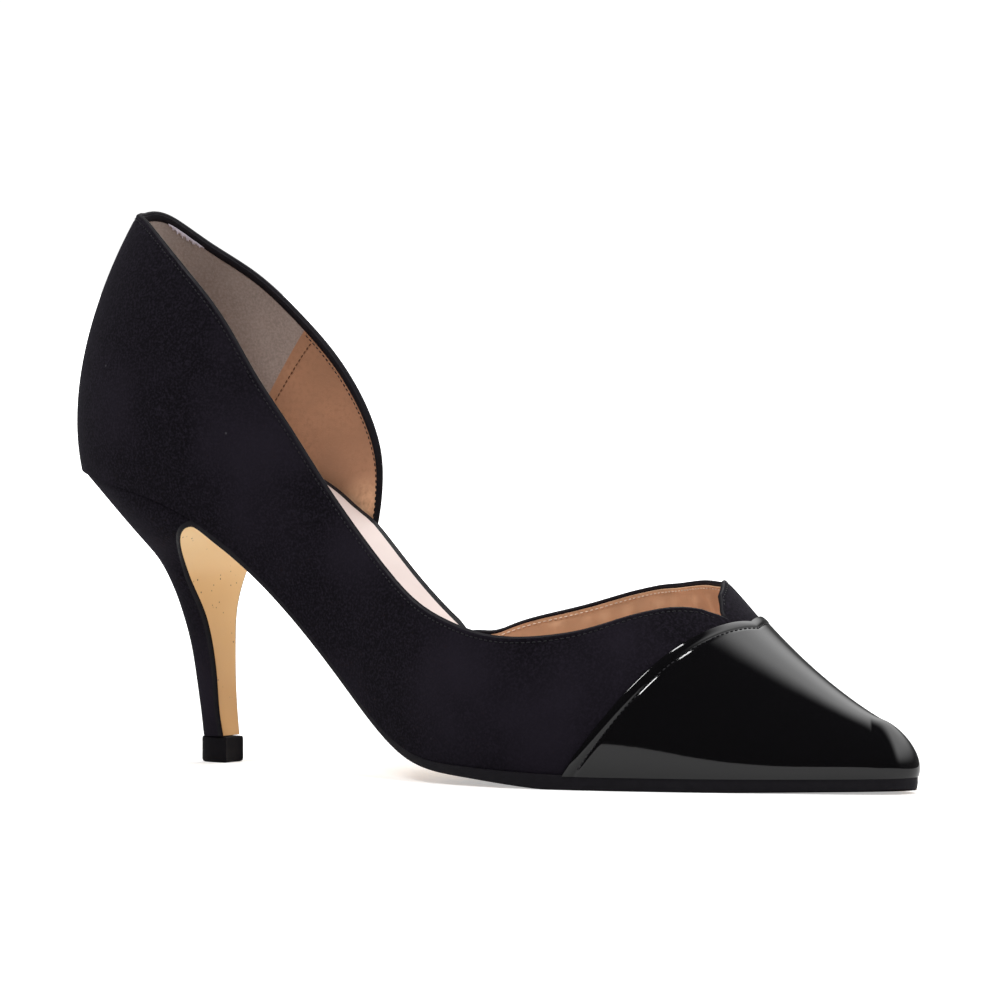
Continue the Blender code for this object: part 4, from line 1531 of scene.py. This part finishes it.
def stitch_tree():
    """Geometry Nodes that lay stitches along the edges of a path mesh."""
    tree = bpy.data.node_groups.new("stitch_row", "GeometryNodeTree")
    tree.interface.new_socket("Path", in_out="INPUT", socket_type="NodeSocketGeometry")
    for name in ("Pitch", "Stitch length", "Thread radius"):
        tree.interface.new_socket(name, in_out="INPUT", socket_type="NodeSocketFloat")
    tree.interface.new_socket("Thread", in_out="INPUT", socket_type="NodeSocketMaterial")
    tree.interface.new_socket("Stitches", in_out="OUTPUT", socket_type="NodeSocketGeometry")
    add = tree.nodes.new
    join = tree.links.new
    inputs = add("NodeGroupInput").outputs
    path = add("GeometryNodeMeshToCurve")
    join(inputs["Path"], path.inputs["Mesh"])
    spaced = add("GeometryNodeResampleCurve")
    spaced.mode = "LENGTH"
    join(path.outputs["Curve"], spaced.inputs["Curve"])
    join(inputs["Pitch"], spaced.inputs["Length"])
    ball = add("GeometryNodeMeshUVSphere")
    ball.inputs["Segments"].default_value = 8
    ball.inputs["Rings"].default_value = 6
    half = add("ShaderNodeMath")
    half.operation = "MULTIPLY"
    half.inputs[1].default_value = 0.5
    join(inputs["Stitch length"], half.inputs[0])
    shape = add("ShaderNodeCombineXYZ")
    join(half.outputs[0], shape.inputs["X"])
    join(inputs["Thread radius"], shape.inputs["Y"])
    join(inputs["Thread radius"], shape.inputs["Z"])
    stitch = add("GeometryNodeTransform")
    join(ball.outputs["Mesh"], stitch.inputs["Geometry"])
    join(shape.outputs["Vector"], stitch.inputs["Scale"])
    turn = add("FunctionNodeAlignRotationToVector")
    turn.axis = "X"
    join(add("GeometryNodeInputTangent").outputs["Tangent"], turn.inputs["Vector"])
    laid = add("GeometryNodeInstanceOnPoints")
    join(spaced.outputs["Curve"], laid.inputs["Points"])
    join(stitch.outputs["Geometry"], laid.inputs["Instance"])
    join(turn.outputs["Rotation"], laid.inputs["Rotation"])
    real = add("GeometryNodeRealizeInstances")
    join(laid.outputs["Instances"], real.inputs["Geometry"])
    coat = add("GeometryNodeSetMaterial")
    join(real.outputs["Geometry"], coat.inputs["Geometry"])
    join(inputs["Thread"], coat.inputs["Material"])
    join(coat.outputs["Geometry"], add("NodeGroupOutput").inputs["Stitches"])
    return tree


class SHOE_OT_stitches(bpy.types.Operator):
    """Lay the stitch rows of toplines, toe cap and linings"""

    bl_idname = "shoe.stitches"
    bl_label = "Stitches"

    # Where the rows run, how densely they are read, and how deep or proud the thread lies
    CAP_FROM = 0.03
    CAP_POINTS = 300
    CAP_SEARCH = 0.14
    CAP_TRIES = 140
    CAP_SUNK = 0.00014
    SUEDE_SUNK = 0.00006
    LINING_PROUD = 0.00004
    SEAM_INSET = 0.0018
    SEAM_FROM = 0.25
    SEAM_TO = 0.985
    SEAM_POINTS = 160
    SEAM_DROP = 0.0035
    PALE_DROP = 0.0017
    PALE_FROM = 0.43
    QUARTER_DROP = 0.0029
    NOTCH_CLEAR = 0.0035
    LINING_NOTCH_CLEAR = 0.006
    # Shortest rib that takes a row, in insets or drops
    LEAST_INSETS = 2.2
    LEAST_DROPS = 3

    def execute(self, context):
        colours = context.scene.shoe_colours
        last = Last(context.scene.shoe_sizes)
        edges = upper_edges(last)
        tree = stitch_tree()
        dark = thread_finish("dark_thread", colours.thread)
        brown = thread_finish("brown_thread", colours.brown_thread)
        pale = thread_finish("pale_thread", colours.pale_thread)
        toplines = [self.under_edge(last, edge, context) for edge in edges.values()]
        self.lay(context, tree, "stitches_topline", toplines, dark)
        caps = [self.cap_row(last, side) for side in (LATERAL, MEDIAL)]
        self.lay(context, tree, "stitches_cap", caps, dark)
        seams = [self.seam_row(last, edges[name]) for name in ("collar", "quarter")]
        self.lay(context, tree, "stitches_seam", seams, brown)
        vamp = self.inside_row(last, edges["vamp"], self.PALE_DROP, self.PALE_FROM)
        self.lay(context, tree, "stitches_vamp_lining", [vamp], pale)
        quarter = self.inside_row(last, edges["quarter"], self.QUARTER_DROP, SEAM_TOP_ALONG)
        self.lay(context, tree, "stitches_quarter_lining", [quarter], dark)
        return {"FINISHED"}

    def lay(self, context, tree, name, paths, material):
        """Make one piece of stitches along some paths."""
        stitching = context.scene.shoe_stitching
        points = np.concatenate(paths)
        joints = []
        start = 0
        for path in paths:
            joints += [(i, i + 1) for i in range(start, start + len(path) - 1)]
            start += len(path)
        mesh = bpy.data.meshes.new(name)
        mesh.from_pydata(points.tolist(), joints, [])
        piece = bpy.data.objects.new(name, mesh)
        context.scene.collection.objects.link(piece)
        modifier = piece.modifiers.new("stitches", "NODES")
        modifier.node_group = tree
        values = {
            "Pitch": stitching.pitch,
            "Stitch length": stitching.length,
            "Thread radius": stitching.radius,
            "Thread": material,
        }
        for socket in tree.interface.items_tree:
            if socket.name in values:
                modifier[socket.identifier] = values[socket.name]
        bake(piece)
        if not piece.data.polygons:
            raise RuntimeError(f"{name} has no stitches")
        piece.data.shade_smooth()
        settle(piece)

    def under_edge(self, last, edge, context):
        """Row on the suede below an edge, clear of the edge's ends."""
        inset = context.scene.shoe_stitching.inset
        keep = edge.rib_lengths() > self.LEAST_INSETS * inset
        keep &= edge.length - edge.places > self.NOTCH_CLEAR
        drops = np.full((len(edge.angles), 1), inset)
        shares = edge.shares_at(drops)[:, 0]
        return last.skin(edge.angles[keep], shares[keep], edge.side, -self.SUEDE_SUNK)

    def cap_row(self, last, side):
        """Row in the groove of the cap's folded edge."""
        shares = np.linspace(self.CAP_FROM, 1, self.CAP_POINTS)
        rear = cap_rear(shares)
        lift = last.sizes.cap_standoff + last.sizes.cap_thickness - self.CAP_SUNK
        line = last.point(rear, shares, side)
        found = []
        for share, angle in zip(shares, rear):
            tries = angle + np.linspace(0, self.CAP_SEARCH, self.CAP_TRIES)
            gone = distance_to(last.point(tries, np.full(self.CAP_TRIES, share), side), line)
            found.append(tries[np.argmax(gone >= CAP_ROW)])
        return last.skin(np.array(found), shares, side, lift)

    def seam_row(self, last, edge):
        """Row on the tan lining, just ahead of its seam with the heel grip."""
        rows = np.linspace(self.SEAM_FROM, self.SEAM_TO, self.SEAM_POINTS)
        seam = angle_of([SEAM_FOOT_ALONG, SEAM_TOP_ALONG])
        ahead = 2 * self.SEAM_INSET / last.sizes.length / np.sin(seam[0] + (seam[1] - seam[0]) * rows)
        angles = seam[0] + (seam[1] - seam[0]) * rows + ahead
        shares = rows * edge.share_under(angles, self.SEAM_DROP)
        return last.skin(angles, shares, edge.side, -last.sizes.wall - self.LINING_PROUD)

    def inside_row(self, last, edge, drop, start):
        """Row on the lining at a distance below an edge, from a station on."""
        keep = (edge.rib_lengths() > self.LEAST_DROPS * drop) & (along_of(edge.angles) > start)
        if edge.notched:
            keep &= edge.length - edge.places > self.LINING_NOTCH_CLEAR
        drops = np.full((len(edge.angles), 1), drop)
        shares = edge.shares_at(drops)[:, 0]
        return last.skin(edge.angles[keep], shares[keep], edge.side, -last.sizes.wall - self.LINING_PROUD)


class SHOE_OT_stage(bpy.types.Operator):
    """Set up the pale floor, the soft light and the camera"""

    bl_idname = "shoe.stage"
    bl_label = "Stage"

    FLOOR_RADIUS = 14.0
    GLOW_FROM = 0.30
    GLOW_TO = 1.10
    # Places of the lamps: to the camera's right, away from the camera and over the floor
    LAMP_SPOT = (-0.95, -0.45, 1.45)
    TOP_LAMP_SPOT = (-0.25, -0.12, 1.79)
    LAMP_SIZE = (0.5, 0.4)
    TOP_LAMP_SIZE = (0.6, 0.25)
    # Direction of the bright side, and where it begins and ends
    BRIGHT_SIDE = (0.916, 0.400, 0.0)
    BRIGHT_FROM = 0.12
    BRIGHT_TO = 0.42
    # Height of a direction at which horizon turns to zenith, and the backdrop's light
    ZENITH_FROM = 0.2
    ZENITH_TO = 0.8
    BACKDROP = 1.05

    def execute(self, context):
        stage = context.scene.shoe_stage
        self.floor(context, stage)
        self.world(context, stage)
        self.light(context, "lamp", self.LAMP_SIZE, stage.lamp, self.spot(stage, *self.LAMP_SPOT))
        place = self.spot(stage, *self.TOP_LAMP_SPOT)
        self.light(context, "top_lamp", self.TOP_LAMP_SIZE, stage.top_lamp, place)
        self.camera(context, stage)
        context.scene.view_settings.view_transform = "Standard"
        return {"FINISHED"}

    def floor(self, context, stage):
        """A wide pale floor that fades into the background."""
        bm = bmesh.new()
        bmesh.ops.create_circle(bm, cap_ends=True, segments=96, radius=self.FLOOR_RADIUS)
        mesh = bpy.data.meshes.new("floor")
        bm.to_mesh(mesh)
        bm.free()
        s = Shader("pale_floor")
        tone = s.noise(6, 2.0)
        s.colour(s.mix(tone, shade(stage.floor, 0.99), shade(stage.floor, 1.01)))
        s.set(Roughness=0.7, Specular_IOR_Level=0.2)
        s.set(Emission_Color=(1.0, 1.0, 1.0, 1.0))
        away = s.tree.nodes.new("ShaderNodeVectorMath")
        away.operation = "LENGTH"
        s.join(s.place, away.inputs[0])
        rise = s.remap(away.outputs["Value"], self.GLOW_FROM, self.GLOW_TO, stage.floor_glow, stage.far_glow)
        seen = s.tree.nodes.new("ShaderNodeLightPath").outputs["Is Camera Ray"]
        s.join(s.math("MULTIPLY", rise, seen), s.surface.inputs["Emission Strength"])
        mesh.materials.append(s.material)
        floor = bpy.data.objects.new("floor", mesh)
        context.scene.collection.objects.link(floor)

    def world(self, context, stage):
        """White for the camera; for the shoe a bright side behind the toe and a dim front."""
        world = bpy.data.worlds.new("studio")
        world.use_nodes = True
        nodes = world.node_tree.nodes
        nodes.clear()
        join = world.node_tree.links.new
        seen = nodes.new("ShaderNodeBackground")
        seen.inputs["Color"].default_value = (1.0, 1.0, 1.0, 1.0)
        seen.inputs["Strength"].default_value = self.BACKDROP
        around = nodes.new("ShaderNodeBackground")
        around.inputs["Color"].default_value = (1.0, 1.0, 1.0, 1.0)
        direction = nodes.new("ShaderNodeTexCoord").outputs["Generated"]
        toward = nodes.new("ShaderNodeVectorMath")
        toward.operation = "DOT_PRODUCT"
        join(direction, toward.inputs[0])
        toward.inputs[1].default_value = self.spot(stage, *self.BRIGHT_SIDE)
        height = nodes.new("ShaderNodeSeparateXYZ")
        join(direction, height.inputs["Vector"])
        rise = self.ramp(nodes, join, height.outputs["Z"], self.ZENITH_FROM, self.ZENITH_TO)
        path = nodes.new("ShaderNodeLightPath")
        low = self.ramp(nodes, join, path.outputs["Is Glossy Ray"], 0.0, 1.0)
        low.inputs["To Min"].default_value = stage.horizon
        low.inputs["To Max"].default_value = stage.mirrored
        join(low.outputs["Result"], rise.inputs["To Min"])
        rise.inputs["To Max"].default_value = stage.zenith
        ramp = self.ramp(nodes, join, toward.outputs["Value"], self.BRIGHT_FROM, self.BRIGHT_TO)
        ramp.inputs["To Min"].default_value = stage.surround
        join(rise.outputs["Result"], ramp.inputs["To Max"])
        join(ramp.outputs["Result"], around.inputs["Strength"])
        mix = nodes.new("ShaderNodeMixShader")
        output = nodes.new("ShaderNodeOutputWorld")
        join(path.outputs["Is Camera Ray"], mix.inputs["Fac"])
        join(around.outputs["Background"], mix.inputs[1])
        join(seen.outputs["Background"], mix.inputs[2])
        join(mix.outputs["Shader"], output.inputs["Surface"])
        context.scene.world = world

    def ramp(self, nodes, join, value, low, high):
        """A soft ramp over a value."""
        node = nodes.new("ShaderNodeMapRange")
        node.interpolation_type = "SMOOTHSTEP"
        node.inputs["From Min"].default_value = low
        node.inputs["From Max"].default_value = high
        join(value, node.inputs["Value"])
        return node

    def spot(self, stage, right, forward, up):
        """A place by its distance to the camera's right, away from the camera and up."""
        sine, cosine = np.sin(stage.azimuth), np.cos(stage.azimuth)
        return Vector((cosine * right - sine * forward, sine * right + cosine * forward, up))

    def light(self, context, name, size, power, place):
        """A soft rectangular light, turned to the shoe."""
        data = bpy.data.lights.new(name, "AREA")
        data.shape = "RECTANGLE"
        data.size, data.size_y = size
        data.energy = power
        lamp = bpy.data.objects.new(name, data)
        lamp.location = place
        lamp.rotation_euler = (-place).to_track_quat("-Z", "Y").to_euler()
        context.scene.collection.objects.link(lamp)

    def camera(self, context, stage):
        """The camera at the viewing angle."""
        data = bpy.data.cameras.new("camera")
        data.sensor_width = 36.0
        data.lens = stage.lens
        data.clip_start = 0.05
        data.clip_end = 100.0
        camera = bpy.data.objects.new("camera", data)
        place = self.spot(stage, 0.0, -stage.distance, stage.height)
        aim = self.spot(stage, stage.aim_right, 0.0, stage.aim_height)
        camera.location = place
        camera.rotation_euler = (aim - place).to_track_quat("-Z", "Y").to_euler()
        context.scene.collection.objects.link(camera)
        context.scene.camera = camera


class SHOE_PT_panel(bpy.types.Panel):
    """Lists the steps of the shoe in the sidebar"""

    bl_label = "Pointed pump"
    bl_idname = "SHOE_PT_panel"
    bl_space_type = "VIEW_3D"
    bl_region_type = "UI"
    bl_category = "Shoe"

    def draw(self, context):
        for operator in OPERATORS:
            self.layout.operator(operator.bl_idname)
        for group in GROUPS:
            settings = getattr(context.scene, group)
            for name in settings.__annotations__:
                self.layout.prop(settings, name)


GROUPS = {
    "shoe_sizes": ShoeSizes,
    "shoe_stitching": StitchSizes,
    "shoe_colours": ShoeColours,
    "shoe_stage": StageSettings,
}
OPERATORS = (
    SHOE_OT_upper,
    SHOE_OT_linings,
    SHOE_OT_toe_cap,
    SHOE_OT_insole,
    SHOE_OT_outsole,
    SHOE_OT_heel,
    SHOE_OT_stitches,
    SHOE_OT_stage,
)


def register():
    """Register the add-on's classes and settings."""
    for kind in (*GROUPS.values(), *OPERATORS, SHOE_PT_panel):
        bpy.utils.register_class(kind)
    for name, group in GROUPS.items():
        setattr(bpy.types.Scene, name, PointerProperty(type=group))


def unregister():
    """Take the add-on out again."""
    for name in GROUPS:
        delattr(bpy.types.Scene, name)
    for kind in reversed((*GROUPS.values(), *OPERATORS, SHOE_PT_panel)):
        bpy.utils.unregister_class(kind)


def main():
    """Build the shoe and its stage."""
    register()
    bpy.ops.shoe.upper()
    bpy.ops.shoe.linings()
    bpy.ops.shoe.toe_cap()
    bpy.ops.shoe.insole()
    bpy.ops.shoe.outsole()
    bpy.ops.shoe.heel()
    bpy.ops.shoe.stitches()
    bpy.ops.shoe.stage()


if __name__ == "__main__":
    main()
